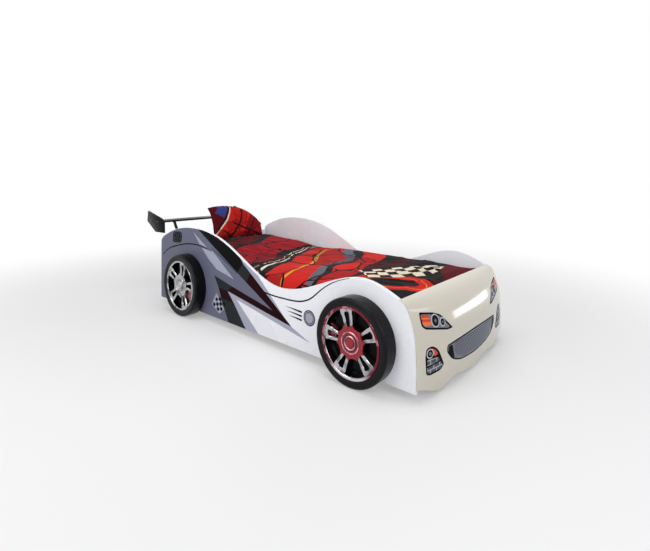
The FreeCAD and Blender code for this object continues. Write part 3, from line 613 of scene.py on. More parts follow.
def panel_face(side):
    """The flat outer face of a side panel, its points given from the panel's rear edge."""
    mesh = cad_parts[f"side_panel_{side}"].data
    outside = -1 if side == "right" else 1
    points, faces, seen = [], [], {}
    for face in mesh.polygons:
        corners = [mesh.vertices[i].co for i in face.vertices]
        if face.normal.y * outside > 0.99 and all(c.y * outside > HALF_WIDTH - 2e-4 for c in corners):
            ring = []
            for c in corners:
                key = (round(c.x, 5), round(c.z, 5))
                if key not in seen:
                    seen[key] = len(points)
                    points.append((c.x - REAR, 0.0, c.z))
                ring.append(seen[key])
            faces.append(ring)
    return mesh_of(points, faces)


def cut_out(sheet, corners):
    """The part of a flat sheet inside a convex outline of (x, z) corners in millimetres."""
    mesh = sheet.copy()
    ring = [Vector((x / 1000, 0, z / 1000)) for x, z in corners]
    middle = sum(ring, Vector()) / len(ring)
    with reworked(mesh) as work:
        for i, here in enumerate(ring):
            run = ring[(i + 1) % len(ring)] - here
            outward = Vector((run.z, 0, -run.x))
            if outward.dot(middle - here) > 0:
                outward = -outward
            whole = work.verts[:] + work.edges[:] + work.faces[:]
            bmesh.ops.bisect_plane(work, geom=whole, dist=1e-7, plane_co=here, plane_no=outward, clear_outer=True)
    return mesh


def ribbon(marks, widths, count=60):
    """A flat ribbon along a smooth line of (x, z) marks in millimetres; its width goes through the widths."""
    line = smooth_line(marks, count)
    along = np.gradient(line, axis=0)
    along /= np.linalg.norm(along, axis=1)[:, None]
    half = np.interp(np.linspace(0, 1, count), np.linspace(0, 1, len(widths)), widths)[:, None] / 2
    side = np.c_[-along[:, 1], along[:, 0]] * half
    points = [(x / 1000, 0.0, z / 1000) for x, z in np.r_[line + side, line - side]]
    return mesh_of(points, [(i, i + 1, count + i + 1, count + i) for i in range(count - 1)])


def disc(x, z, outer, inner=0.0, squash=1.0, steps=48):
    """A flat disc or ring about (x, z), in millimetres."""
    radii = (outer, max(inner, 0.01))
    points = [((x + r * c) / 1000, 0.0, (z + squash * r * s) / 1000) for r in radii for c, s in circle(steps)]
    return mesh_of(points, ring_faces(2, steps, closed=False))


def lay_film(name, parts, side, finish, layer):
    """Lay flat film shapes on the outer face of a side panel, as slim solids."""
    outside = -1 if side == "right" else 1
    low, high = outside * (HALF_WIDTH - 0.0001), outside * (HALF_WIDTH + FILM * layer)
    meshes = [mesh.copy() for mesh in parts]
    for mesh in meshes:
        with reworked(mesh) as work:
            bmesh.ops.dissolve_limit(work, angle_limit=0.01, verts=work.verts, edges=work.edges)
            bmesh.ops.triangulate(work, faces=work.faces)
            for v in work.verts:
                v.co = Vector((v.co.x + REAR, low, v.co.z))
            raised = bmesh.ops.extrude_face_region(work, geom=work.faces[:])
            for item in raised["geom"]:
                if isinstance(item, bmesh.types.BMVert):
                    item.co.y = high
            bmesh.ops.recalc_face_normals(work, faces=work.faces)
    add_piece(f"{name}_{side}", joined(meshes), finish, crease=20.0)


def chequer(corner, across, upward, columns, rows):
    """The dark squares of a slanted chequered patch."""
    squares = []
    for i in range(columns):
        for j in range(rows):
            if (i + j) % 2 == 0:
                steps = [(i, j), (i + 1, j), (i + 1, j + 1), (i, j + 1)]
                ring = [[(corner[k] + a * across[k] + b * upward[k]) / 1000 for k in (0, 1)] for a, b in steps]
                squares.append(mesh_of([(x, 0.0, z) for x, z in ring], [(0, 1, 2, 3)]))
    return squares


def livery(side):
    """The printed stripes: slate rear, light-edged dark bands that fold back at a point, narrow coach lines."""
    face = panel_face(side)

    def cut(*outlines):
        return [cut_out(face, corners) for corners in outlines]

    # Broad areas first.
    upper_edge, tip, inner_tip, point = (1052, 402), (1500, 98), (1215, 200), (1365, 147)
    fork = (807, 230)
    slate = cut(
        [(-5, 35), (665, 35), (665, 620), (-5, 620)],
        [(665, 35), (1000, 35), (665, 303)],
        [(665, 620), (665, 303), (793.75, 200), inner_tip, upper_edge, (700, 620)],
    )
    mist = cut(
        [(770, 640), upper_edge, tip, point, (740, 560)],
        [fork, point, tip, (893, 197)],
        [fork, (893, 197), (1108, 35), (988, 35)],
        [(425, 550), (500, 478), (585, 466)],
        [(524, 457), (645, 452), (705, 415), (600, 398)],
        [(600, 398), (705, 415), (868, 311), (690, 345)],
    )
    black = cut([(447, 590), (800, 590), (955, 418), (900, 356)])
    charcoal = cut(
        [(955, 418), (1022, 374), (985, 314), (900, 356)],
        [(665, 303), (850, 266), fork, (712, 235)],
        [(742, 172), (867, 172), (990, 35), (821, 35)],
    )
    maroon = cut(
        [(1022, 374), point, inner_tip, (985, 314)],
        [(850, 266), inner_tip, point, fork],
        [fork, (867, 172), (742, 172), (712, 235)],
    )
    lay_film("slate_film", slate, side, "film_slate", 1)
    lay_film("mist_film", mist, side, "film_mist", 2)
    lay_film("black_film", black, side, "film_black", 3)
    lay_film("charcoal_film", charcoal, side, "film_charcoal", 3)
    lay_film("maroon_film", maroon, side, "film_maroon", 3)

    arch_marks = [(30, 352), (100, 398), (200, 432), (300, 455), (400, 468), (470, 470), (560, 462), (640, 448)]
    sweep_marks = [(1150, 287), (1220, 283), (1320, 284), (1420, 292), (1500, 322)]
    sweep_marks += [(1560, 370), (1640, 424), (1688, 446), (1721, 457), (1748, 466)]
    lines = [
        ribbon(arch_marks, [5, 7.5, 8, 7, 2.5]),
        ribbon([(640, 470), (760, 418), (900, 351)], [2, 5, 2], 20),
        ribbon(sweep_marks, [8, 7, 7.5, 7.5, 6, 4, 2]),
    ]
    for k in range(3):
        flash = [(1322 + 12 * k, 246 - 21 * k), (1385 + 6 * k, 244 - 21 * k), (1440, 240 - 21 * k)]
        lines.append(ribbon(flash, [1, 6, 10], 16))
    lay_film("coach_lines", lines, side, "film_black", 4)
    port = (1493, 222)
    lay_film("filler_ring", [disc(*port, 40, 34), disc(*port, 30, 26)], side, "film_charcoal", 4)
    lay_film("filler_face", [disc(*port, 34, 30), disc(*port, 26)], side, "film_mist", 4)
    vent = rounded_run([(160, 452, 26), (282, 462, 26), (284, 538, 26), (166, 530, 26)])
    lay_film("vent_patch", cut(vent), side, "film_charcoal", 4)
    turns = [0.3 + math.tau * k / 5 for k in range(5)]
    holes = [disc(224 + 30 * math.cos(a), 495 + 24 * math.sin(a), 11, 0, 0.8, 24) for a in turns]
    lay_film("vent_holes", holes + [disc(224, 495, 8, 0, 0.8, 24)], side, "film_black", 5)
    lay_film("chequer_ground", cut([(640, 118), (690, 196), (772, 112), (722, 74)]), side, "film_mist", 4)
    lay_film("chequer_squares", chequer((650, 118), (20.5, -10.5), (13.5, 18), 4, 4), side, "film_black", 5)


# Down the nose: shares of its reach in front of its top edge, of its height, and of its bulge in the middle.
NOSE_LINE = (
    (0.0, 1.0, 0.0),
    (0.273, 0.972, 0.42),
    (0.54, 0.874, 0.86),
    (0.791, 0.713, 1.0),
    (0.944, 0.462, 1.08),
    (1.0, 0.27, 1.02),
    (1.0, 0.0, 0.8),
)
NOSE_REACH, NOSE_BULGE = 0.092, 0.046
NOSE_TOP, NOSE_LOW = 0.420, 0.042
NOSE_START = 2.017  # the nose's top edge, from the panels' rear edge


def nose_floor(y):
    """Height of the nose's lower edge above the floor."""
    keys = ((0.0, 0.007), (0.195, 0.030), (0.310, 0.009), (HALF_WIDTH, 0.057))
    for (y0, z0), (y1, z1) in zip(keys, keys[1:]):
        if abs(y) <= y1:
            return z0 + (z1 - z0) * smooth((abs(y) - y0) / (y1 - y0))
    return keys[-1][1]


def nose_cut(y, count=49):
    """Points down the nose's outer surface in a lengthwise cut."""
    forward = 1 - (abs(y) / HALF_WIDTH) ** 2.4
    floor = nose_floor(y)
    marks = []
    for reach, share, bulge in NOSE_LINE:
        x = NOSE_START + NOSE_REACH * reach + NOSE_BULGE * bulge * forward
        z = NOSE_LOW + (NOSE_TOP - NOSE_LOW) * share
        drop = (NOSE_TOP - z) / (NOSE_TOP - NOSE_LOW)
        marks.append((x + REAR, z - (NOSE_LOW - floor) * drop**3))
    return smooth_line(marks, count)


def nose_table():
    """How far forward the nose's surface lies, for places across and heights, with the outward directions."""
    across, heights = np.linspace(-0.47, 0.47, 189), np.linspace(0.062, 0.415, 118)
    reach = np.array([np.interp(-heights, -line[:, 1], line[:, 0]) for line in map(nose_cut, across)])
    over, up = np.gradient(reach, across, heights)
    return across, heights, np.stack([reach, -over, -up], axis=2)


def nose_point(table, y, z, lift=0.0):
    """The point of the nose's surface at a place across and a height, lifted off it."""
    across, heights, values = table
    i = min(max(np.searchsorted(across, y) - 1, 0), len(across) - 2)
    j = min(max(np.searchsorted(heights, z) - 1, 0), len(heights) - 2)
    u = (y - across[i]) / (across[i + 1] - across[i])
    v = (z - heights[j]) / (heights[j + 1] - heights[j])
    left, right = ((1 - v) * values[k, j] + v * values[k, j + 1] for k in (i, i + 1))
    reach, over, up = (1 - u) * left + u * right
    return Vector((reach, y, z)) + lift * Vector((1, over, up)).normalized()


def nose():
    """The moulded nose: one smooth shell with its edges rounded, over the CAD's own sections."""
    columns, rows = 97, 49
    points, faces = [], []
    for i in range(columns):
        s = 2 * i / (columns - 1) - 1
        y = HALF_WIDTH * (1.25 * s - 0.25 * s**3)
        points += [(x, y, z) for x, z in nose_cut(y, rows)]
    for i in range(columns - 1):
        for j in range(rows - 1):
            a = i * rows + j
            faces.append((a, a + 1, a + rows + 1, a + rows))
    mesh = bpy.data.meshes.new("shell")
    mesh.from_pydata(points, [], faces)
    if mesh.polygons[len(faces) // 2].normal.x < 0:
        mesh.flip_normals()
    shell = worked(mesh, "SOLIDIFY", thickness=0.004, offset=-1)
    shell = eased(shell, 0.0016, 3, 50)
    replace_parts(add_piece("nose_shell", shell, "nose_gloss"), "nose_moulding")


# Thickness of one printed layer, and the widest cell of a print that is bent over the nose.
SKIN, SKIN_CELL = 0.0003, 0.009


def skin(table, name, outline, finish, layer, sign):
    """A printed shape laid on the nose; its outline is in (distance from the middle, height) millimetres."""
    mesh = bpy.data.meshes.new("skin")
    with reworked(mesh) as work:
        ring = [work.verts.new((0, sign * y / 1000, z / 1000)) for y, z in outline]
        work.faces.new(ring)
        bmesh.ops.triangulate(work, faces=work.faces)
        low = [min(v.co[k] for v in ring) for k in (1, 2)]
        high = [max(v.co[k] for v in ring) for k in (1, 2)]
        for k in (0, 1):
            count = int((high[k] - low[k]) / SKIN_CELL)
            for i in range(1, count + 1):
                centre, normal = Vector((0, 0, 0)), Vector((0, 1 - k, k))
                centre[k + 1] = low[k] + (high[k] - low[k]) * i / (count + 1)
                whole = work.verts[:] + work.edges[:] + work.faces[:]
                bmesh.ops.bisect_plane(work, geom=whole, dist=1e-6, plane_co=centre, plane_no=normal)
        for v in work.verts:
            v.co = nose_point(table, v.co.y, v.co.z, -0.0002)
        raised = bmesh.ops.extrude_face_region(work, geom=work.faces[:])
        for item in raised["geom"]:
            if isinstance(item, bmesh.types.BMVert):
                item.co = nose_point(table, item.co.y, item.co.z, SKIN * layer)
        bmesh.ops.recalc_face_normals(work, faces=work.faces)
    add_piece(name, mesh, finish, crease=40.0)


def shrunk(outline, distance):
    """A closed outline moved inwards by a distance."""
    count = len(outline)
    area = sum(outline[i - 1][0] * outline[i][1] - outline[i][0] * outline[i - 1][1] for i in range(count))
    turn = 1 if area > 0 else -1
    moved = []
    for i in range(count):
        before, here, after = (Vector(outline[k]) for k in (i - 1, i, (i + 1) % count))
        first, second = (here - before).normalized(), (after - here).normalized()
        inward = Vector((-first.y, first.x)) + Vector((-second.y, second.x))
        moved.append(tuple(here + turn * inward.normalized() * distance / max(0.4, inward.length / 2)))
    return moved


def oval(y, z, wide, tall, steps=24):
    """The outline of an oval from its middle and its half width and height."""
    return [(y + wide * c, z + tall * s) for c, s in circle(steps)]


# Outlines on the nose: (distance from the middle, height, rounding) in millimetres.
HEADLAMP = [(425, 366, 8), (340, 350, 10), (297, 334, 10), (221, 262, 6)]
HEADLAMP += [(262, 262, 8), (413, 296, 14), (434, 312, 12), (432, 342, 12)]
HEADLAMP_GLASS = [(418, 357, 6), (340, 342, 8), (302, 327, 8), (244, 270, 3)]
HEADLAMP_GLASS += [(262, 270, 6), (411, 304, 10), (425, 316, 10), (424, 340, 8)]
FOG_LAMP = [(421, 219, 14), (381, 222, 16), (343, 198, 16), (303, 122, 8)]
FOG_LAMP += [(330, 104, 10), (403, 102, 10), (426, 112, 10), (431, 184, 20)]
FOG_FLASH = [(386, 213, 4), (362, 202, 8), (345, 180, 4), (368, 176, 6), (392, 186, 4)]
GRILLE = [(-222, 192, 8), (0, 199, 90), (222, 192, 8), (216, 148, 30)]
GRILLE += [(150, 108, 60), (0, 96, 90), (-150, 108, 60), (-216, 148, 30)]
GRILLE_POCKET = [(266, 188, 8), (236, 190, 6), (222, 140, 10), (214, 118, 6), (238, 132, 8), (268, 162, 8)]


def lamps():
    """Printed lamps and grille: black outlines, round lenses, orange flashes and a mesh."""
    table = nose_table()
    for side, sign in (("right", -1), ("left", 1)):
        skin(table, f"headlamp_frame_{side}", rounded_run(HEADLAMP), "film_black", 1, sign)
        skin(table, f"headlamp_glass_{side}", rounded_run(HEADLAMP_GLASS), "film_grey", 2, sign)
        flash = [(366, 306), (412, 308), (424, 318), (422, 353), (380, 346)]
        skin(table, f"headlamp_flash_{side}", flash, "film_amber", 3, sign)
        bars = [[(374, 335), (421, 345), (421, 355), (377, 346)], [(370, 319), (423, 328), (423, 338), (373, 329)]]
        for k, bar in enumerate(bars):
            skin(table, f"headlamp_bar_{side}_{k}", bar, "film_orange", 4, sign)
        for k, (y, z, size) in enumerate(((341, 317, 27), (293, 302, 19))):
            skin(table, f"headlamp_ring_{side}_{k}", oval(y, z, size, size), "film_pale", 4, sign)
            skin(table, f"headlamp_lens_{side}_{k}", oval(y, z, size - 4.5, size - 4.5), "film_black", 5, sign)
            skin(table, f"headlamp_bowl_{side}_{k}", oval(y, z, size * 0.5, size * 0.5), "film_charcoal", 6, sign)
            skin(table, f"headlamp_eye_{side}_{k}", oval(y, z, size * 0.22, size * 0.22), "film_grey", 7, sign)
        skin(table, f"fog_frame_{side}", rounded_run(FOG_LAMP), "film_black", 1, sign)
        bands = (
            [(418, 172), (346, 166), (334, 150), (420, 146)],
            [(420, 139), (330, 143), (313, 122), (332, 112), (418, 112)],
        )
        for k, band in enumerate(bands):
            skin(table, f"fog_mesh_{side}_{k}", rounded_run([(y, z, 5) for y, z in band]), "lamp_mesh", 2, sign)
        skin(table, f"fog_flash_{side}", rounded_run(FOG_FLASH), "film_orange", 2, sign)
        skin(table, f"fog_glint_{side}", [(380, 204), (372, 200), (366, 180), (372, 180)], "film_amber", 3, sign)
        skin(table, f"fog_ring_{side}", oval(400, 194, 22, 20), "film_pale", 4, sign)
        skin(table, f"fog_lens_{side}", oval(400, 194, 17.5, 15.5), "film_black", 5, sign)
        skin(table, f"fog_eye_{side}", oval(400, 194, 8, 8), "film_grey", 6, sign)
    top = [(-276, 197), (-180, 204), (0, 208), (180, 204), (276, 197)]
    low = [(279, 166), (238, 124), (160, 96), (0, 85), (-160, 96), (-238, 124), (-279, 166)]
    smile = rounded_run([(y, z, 12 if abs(y) > 250 else 60) for y, z in top + low])
    skin(table, "grille_frame", smile, "film_black", 1, 1)
    skin(table, "grille_rim", shrunk(smile, 7), "film_grey", 2, 1)
    skin(table, "grille_mesh", rounded_run(GRILLE), "grille_mesh", 3, 1)
    for side, sign in (("right", -1), ("left", 1)):
        skin(table, f"grille_pocket_{side}", rounded_run(GRILLE_POCKET), "film_black", 3, sign)


# ---------------------------------------------------------------- wheels

# Each axle: its end of the bed, its distance from the rear edge and the turn of its spokes in degrees.
WHEELS = (("rear", 0.375, 5.0), ("front", 1.808, 29.0))
AXLE = 0.200
CALIPER_TURN = {"front": 173.0, "rear": -30.0}

# Profiles of the turned parts: (radius, depth, rounding) of each corner, the depth counted outwards from the panel.
TYRE = [(0.163, 0.0, 0.0), (0.200, 0.0, 0.002), (0.200, 0.0680, 0.010), (0.1925, 0.0750, 0.006)]
TYRE += [(0.1725, 0.0735, 0.004), (0.1690, 0.0720, 0.002), (0.1655, 0.0735, 0.002), (0.163, 0.0715, 0.002)]
TYRE += [(0.163, 0.035, 0.0)]
BARREL = [(0.1575, 0.0345, 0), (0.1625, 0.0345, 0), (0.1625, 0.0660, 0.003), (0.1600, 0.0716, 0.002)]
BARREL += [(0.1545, 0.0722, 0.003), (0.1490, 0.0700, 0.004), (0.1480, 0.0640, 0.003), (0.1530, 0.0560, 0.006)]
CORE = [(0.0005, 0.0, 0), (0.1625, 0.0, 0), (0.1625, 0.034, 0.001), (0.0005, 0.034, 0)]
HUB = [(0.0005, 0.0345, 0), (0.050, 0.0345, 0), (0.048, 0.0592, 0.003), (0.0005, 0.0592, 0)]
WELL = [(0.0330, 0.0630, 0), (0.0375, 0.0630, 0), (0.0370, 0.0660, 0.0004), (0.0335, 0.0660, 0.0004)]
BOSS = [(0.0004, 0.0640, 0), (0.0225, 0.0640, 0), (0.0220, 0.0700, 0.002), (0.0120, 0.0718, 0.004), (0.0004, 0.0722, 0)]
BAND = [(0.1505, 0.0690, 0), (0.1628, 0.0690, 0), (0.1622, 0.0728, 0.001), (0.1515, 0.0738, 0.002)]

# Finish and slot of each group of wheel parts.
WHEEL_LOOKS = {
    "tyre": ("tyre_black", "tyre_black"),
    "core": ("core_black", "core_black"),
    "rim_front": ("chrome", "rim_chrome"),
    "rim_rear": ("chrome", "rim_chrome"),
    "star_front": ("cap_red", "cap_red"),
    "star_rear": ("chrome", "rim_chrome"),
    "boss_front": ("cap_red", "cap_red"),
    "boss_rear": ("chrome", "rim_chrome"),
    # The front rings' rose tint is a painted reflection of the red hub.
    "ring_front": ("chrome_painted_red_reflection", "cap_red"),
    "ring_rear": ("chrome", "rim_chrome"),
    "well": ("core_black", "core_black"),
    "band": ("lip_rose", "cap_red"),
    "caliper": ("ring_maroon", "cap_red"),
}


def at_wheel(mesh, end_x, sign, spin=0.0):
    """A mesh made about its own axis, set on a wheel's place and turned by spin degrees."""
    mesh = mesh.copy()
    out = Matrix(((-sign, 0, 0), (0, 0, sign), (0, 1, 0)))
    turn = (out @ Matrix.Rotation(math.radians(spin), 3, "Z")).to_4x4()
    mesh.transform(Matrix.Translation((REAR + end_x, sign * HALF_WIDTH, AXLE)) @ turn)
    return mesh


def ring_plate(outer, inner, low, top, edge, crown=0.0):
    """A plate with a hole, from outlines with the same number of points; low and top give the depth at a point."""

    def between(start, end):
        """An outline moved towards the other one by the edge's width."""
        return [tuple(a + (b - a) * edge / math.dist(p, q) for a, b in zip(p, q)) for p, q in zip(start, end)]

    def shoulder(p):
        return top(p) - edge

    middle = [tuple((a + b) / 2 for a, b in zip(p, q)) for p, q in zip(outer, inner)]
    rings = (
        (outer, low),
        (outer, shoulder),
        (between(outer, inner), top),
        (middle, lambda p: top(p) + crown),
        (between(inner, outer), top),
        (inner, shoulder),
        (inner, low),
    )
    points = [(p[0], p[1], level(p)) for ring, level in rings for p in ring]
    return mesh_of(points, ring_faces(len(rings), len(outer)))


def resampled(run, count, start):
    """A closed outline in evenly spaced points, the first nearest to a start point."""
    ring = np.array(run + run[:1], float)
    steps = np.r_[0, np.cumsum(np.linalg.norm(np.diff(ring, axis=0), axis=1))]
    first = steps[int(np.argmin(np.linalg.norm(ring[:-1] - np.array(start), axis=1)))]
    at = (first + np.linspace(0, steps[-1], count, endpoint=False)) % steps[-1]
    return [(float(np.interp(s, steps, ring[:, 0])), float(np.interp(s, steps, ring[:, 1]))) for s in at]


def spoke_pair():
    """Twin spokes that part towards the rim and join again at its edge."""
    root, end = 0.040, 0.1515
    outer = [(root, 0.0225, 0.002), (0.075, 0.0225, 0.006), (end - 0.008, 0.0355, 0.012)]
    outer += [(end, 0.026, 0.006), (end + 0.002, 0.0, 0.02)]
    inner = [(0.064, 0.0060, 0.002), (end - 0.020, 0.0150, 0.006), (end - 0.014, 0.0, 0.010)]
    outlines = [rounded_run([(x, -y, r) for x, y, r in half] + half[-2::-1], 6) for half in (outer, inner)]
    ring, hole = (resampled(line, 72, (half[0][0], -half[0][1])) for line, half in zip(outlines, (outer, inner)))

    def top(p):
        return 0.058 + 0.0085 * (p[0] - root) / (end - root)

    return ring_plate(ring, hole, lambda p: top(p) - 0.012, top, 0.0022, 0.0012)


def star_disc():
    """The hub's disc with a lobe on each spoke."""
    outer, inner = [], []
    steps, lobes = 200, 10
    for i in range(steps):
        turn = math.tau * i / steps
        off = abs((turn / (math.tau / lobes)) % 1.0 - 0.5) * 2
        radius = 0.0700 + 0.0110 * max(0.0, 1 - off / 0.66) ** 1.3 * (1 + 0.45 * math.cos(turn * 5))
        outer.append((radius * math.cos(turn), radius * math.sin(turn)))
        inner.append((0.012 * math.cos(turn), 0.012 * math.sin(turn)))
    return ring_plate(outer, inner, lambda p: 0.0595, lambda p: 0.0655, 0.0016, 0.0004)


def torus(radius, depth, wide, tall, steps=12):
    """A ring with an oval section, about its own axis."""
    return turned_mesh([(radius + wide * c, depth + tall * s) for c, s in circle(steps)])


def caliper(inner, half):
    """A patch behind the spokes: a part of a ring, reaching half degrees to each side of its middle."""
    outline = []
    for radius, sweep in ((inner, 1), (0.140, -1)):
        for k in range(13):
            turn = sweep * math.radians(half * (k / 6 - 1))
            outline.append((radius * math.cos(turn), radius * math.sin(turn)))
    return flat_plate(outline, 0.0350, 0.0480)


def wheels():
    """Tyres, rims and hub caps on the CAD's wheel places: the front pair dressed in red."""
    tyre, barrel, pair, star = turned(TYRE, 144, 5), turned(BARREL, 144, 5), spoke_pair(), star_disc()
    core, hub, well, boss = turned(CORE), turned(HUB, 64), turned(WELL, 64), turned(BOSS, 64)
    rings = [torus(0.0475, 0.0660, 0.0034, 0.0030), torus(0.0290, 0.0666, 0.0040, 0.0034)]
    band = turned(BAND, 144)
    calipers = {"front": caliper(0.094, 17), "rear": caliper(0.058, 15)}
    groups = {key: [] for key in WHEEL_LOOKS}
    for sign in (-1, 1):
        for end, x, spin in WHEELS:
            groups["tyre"].append(at_wheel(tyre, x, sign))
            groups["core"].append(at_wheel(core, x, sign))
            groups["well"].append(at_wheel(well, x, sign))
            groups[f"rim_{end}"] += [at_wheel(barrel, x, sign), at_wheel(hub, x, sign)]
            groups[f"rim_{end}"] += [at_wheel(pair, x, sign, spin + 72 * k) for k in range(5)]
            groups[f"star_{end}"].append(at_wheel(star, x, sign, spin))
            groups[f"boss_{end}"].append(at_wheel(boss, x, sign))
            groups[f"ring_{end}"] += [at_wheel(ring, x, sign) for ring in rings]
            groups["caliper"].append(at_wheel(calipers[end], x, sign, CALIPER_TURN[end]))
            if end == "front":
                groups["band"].append(at_wheel(band, x, sign))
    pieces = {}
    for key, (finish, slot) in WHEEL_LOOKS.items():
        pieces[key] = add_piece(f"wheel_{key}", joined(groups[key]), finish)
    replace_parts(pieces["tyre"], "tyres")
    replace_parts(pieces["core"], "wheel_cores")
    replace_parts(pieces["rim_front"], "wheel_rims")
    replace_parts(pieces["star_front"], "hub_caps")


def flat_plate(outline, low, high):
    """A plate with straight sides from a closed outline, between two depths."""
    count = len(outline)
    points = [(x, y, depth) for depth in (low, high) for x, y in outline]
    faces = [tuple(t) for t in tessellate_polygon([[Vector((x, y, 0)) for x, y in outline]])]
    faces += [tuple(i + count for i in f) for f in faces]
    return mesh_of(points, faces + ring_faces(2, count, closed=False))


# ---------------------------------------------------------------- wing and fasteners


def screw(centre, out, radius):
    """A pan-head screw with a six-sided socket."""
    bore, shank = radius * 0.45, 0.0001
    crown = [(radius, 0.0, 0), (radius, 0.0016, 0.001), (radius * 0.7, 0.0032, 0.001)]
    head = turned([(bore, 0.0, 0), *crown, (bore, 0.0034, 0)], 36)
    floor = turned_mesh([(shank, 0.0002), (bore, 0.0002), (bore, 0.0010), (shank, 0.0010)], 6)
    mesh = joined([head, floor])
    turn = FLAT_UP.rotation_difference(Vector(out)).to_matrix().to_4x4()
    mesh.transform(Matrix.Translation(Vector(centre)) @ turn)
    return mesh


def wing():
    """The rear wing: board, end plates and struts with eased edges, and its screws."""
    softened("wing_board", "wing_plank", 0.0012, "wing_black")
    for side in ("right", "left"):
        softened(f"end_plate_{side}", f"wing_end_{side}", 0.0018, "wing_black")
        softened(f"wing_strut_{side}", f"wing_leg_{side}", 0.0012, "strut_black")
    heads = []
    for sign in (-1, 1):
        for x in (-0.309, -0.212):
            heads.append(screw((REAR + x, sign * 0.405, 0.556), (0, sign, 0), 0.0075))
        for x in (-0.212, -0.190):
            heads.append(screw((REAR + x, sign * 0.277, 0.547), (0, 0, -1), 0.004))
        for z in (0.262, 0.302):
            heads.append(screw((REAR - 0.004, sign * 0.277, z), (-1, 0, 0), 0.0045))
    add_piece("wing_screws", joined(heads), "screw_steel")
    low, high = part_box("corner_angles")
    heads = []
    for x, out in ((low.x, 1), (high.x, -1)):
        for sign in (-1, 1):
            wall = sign * high.y
            for z in (0.225, 0.255):
                heads.append(screw((x + out * 0.0025, wall - sign * 0.022, z), (out, 0, 0), 0.0045))
                heads.append(screw((x + out * 0.022, wall - sign * 0.0025, z), (0, -sign, 0), 0.0045))
    add_piece("angle_screws", joined(heads), "screw_steel")


# ---------------------------------------------------------------- bedding


def moved(mesh, rule):
    """Move every point of a mesh by a rule from its place (and normal) to a shift."""
    places = [v.co.copy() for v in mesh.vertices]
    normals = [v.normal.copy() for v in mesh.vertices]
    shifted = [p + rule(p, n) for p, n in zip(places, normals)]
    mesh.vertices.foreach_set("co", np.array(shifted, np.float32).ravel())
    mesh.update()
    return mesh


def inflate(mesh, frames, pressure, reach, stiffness=12.0, still=None):
    """Blow up a closed cloth form for some frames, and keep each point within reach of where it was."""
    obj = bpy.data.objects.new("cloth", mesh)
    bpy.context.scene.collection.objects.link(obj)
    if still is not None:
        group = obj.vertex_groups.new(name="still")
        for i, weight in enumerate(still):
            if weight > 0:
                group.add([i], weight, "REPLACE")
    cloth = obj.modifiers.new("cloth", "CLOTH")
    setup = cloth.settings
    setup.quality = 5
    setup.use_pressure = True
    setup.uniform_pressure_force = pressure
    setup.tension_stiffness = setup.compression_stiffness = stiffness
    setup.bending_stiffness = 0.4
    setup.effector_weights.gravity = 0.0
    if still is not None:
        setup.vertex_group_mass = "still"
    cloth.point_cache.frame_start, cloth.point_cache.frame_end = 1, frames
    start = [v.co.copy() for v in mesh.vertices]
    for i in range(1, frames + 1):
        bpy.context.scene.frame_set(i)
    result = baked(obj)
    bpy.context.scene.frame_set(1)
    for v, before in zip(result.vertices, start):
        shift = v.co - before
        if shift.length > reach:
            v.co = before + shift.normalized() * reach
    result.update()
    return result


def box_skin(low, high, cell):
    """A box's surface in a fine grid."""
    counts = [max(2, int(round((high[k] - low[k]) / cell))) for k in range(3)]
    points, faces = [], []
    for axis in range(3):
        u, v = [k for k in range(3) if k != axis]
        for level in (low[axis], high[axis]):
            base = len(points)
            for i in range(counts[u] + 1):
                for j in range(counts[v] + 1):
                    p = [0.0] * 3
                    p[axis] = level
                    p[u] = low[u] + (high[u] - low[u]) * i / counts[u]
                    p[v] = low[v] + (high[v] - low[v]) * j / counts[v]
                    points.append(tuple(p))
            row = counts[v] + 1
            for start in range(base, base + counts[u] * row, row):
                faces += [(a, a + 1, a + row + 1, a + row) for a in range(start, start + counts[v])]
    return mesh_of(points, faces)


QUILT = 0.17  # along the bed, from one slanted seam to the next


def mattress():
    """A foam mattress in quilted ticking, with a piped seam round its top and bottom."""
    low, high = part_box("mattress")
    round_plan, round_edge = 0.040, 0.018
    shell = box_skin(low, high, 0.013)
    centre = (low + high) / 2
    half = (high - low) / 2

    def ease(p, normal):
        """Rounds the box's upright corners, and its edges at the top and bottom."""
        local, radii = p - centre, (round_plan, round_plan, round_edge)
        inner = Vector([max(-(half[k] - r), min(half[k] - r, local[k])) for k, r in enumerate(radii)])
        away = local - inner
        flat, rise = Vector((away.x, away.y, 0)), away.z
        if flat.length > round_plan:
            flat = flat.normalized() * round_plan
        across, tall = flat.length / round_plan, abs(rise) / round_edge
        if across > 0 and tall > 0 and across**2 + tall**2 > 1:
            pull = 1 / math.hypot(across, tall)
            flat, rise = flat * (1 - (1 - pull) * round_edge / round_plan), rise * pull
        return centre + inner + (flat + Vector((0, 0, rise))) - p

    shell = moved(shell, ease)

    def quilt(p, normal):
        """Draws the cover in along slanted seams, and lets the sides swell a little."""
        swell, draw, seam_width, border = 0.0015, -0.007, 0.07, 0.05
        if abs(normal.z) < 0.8:
            band = math.sin((p.z - low.z) / (high.z - low.z) * math.pi)
            return normal * (swell * band - swell)
        slants = ((p.x + p.y) / QUILT, (p.x - p.y) / QUILT)
        seam = min(abs(a - round(a)) for a in slants)
        edge = min(1.0, (half.x - abs(p.x - centre.x)) / border, (half.y - abs(p.y - centre.y)) / border)
        return normal * (draw * math.exp(-((seam / seam_width) ** 2)) * max(edge, 0.0) - 0.001)

    shell = moved(shell, quilt)
    body = add_piece("mattress_body", shell, "ticking", "bedding", 80.0)
    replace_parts(body, "mattress")
    corners = ((-1, -1), (1, -1), (1, 1), (-1, 1))
    plan = rounded_run([(sx * half.x, sy * half.y, round_plan * 1.2) for sx, sy in corners], 8)
    pipes = []
    for z in (low.z + 0.012, high.z - 0.012):
        pipes.append(tube([Vector((centre.x + x, centre.y + y, z)) for x, y in plan], 0.0035))
    piping = add_piece("mattress_piping", joined(pipes), "piping_cloth", "bedding", 60.0)


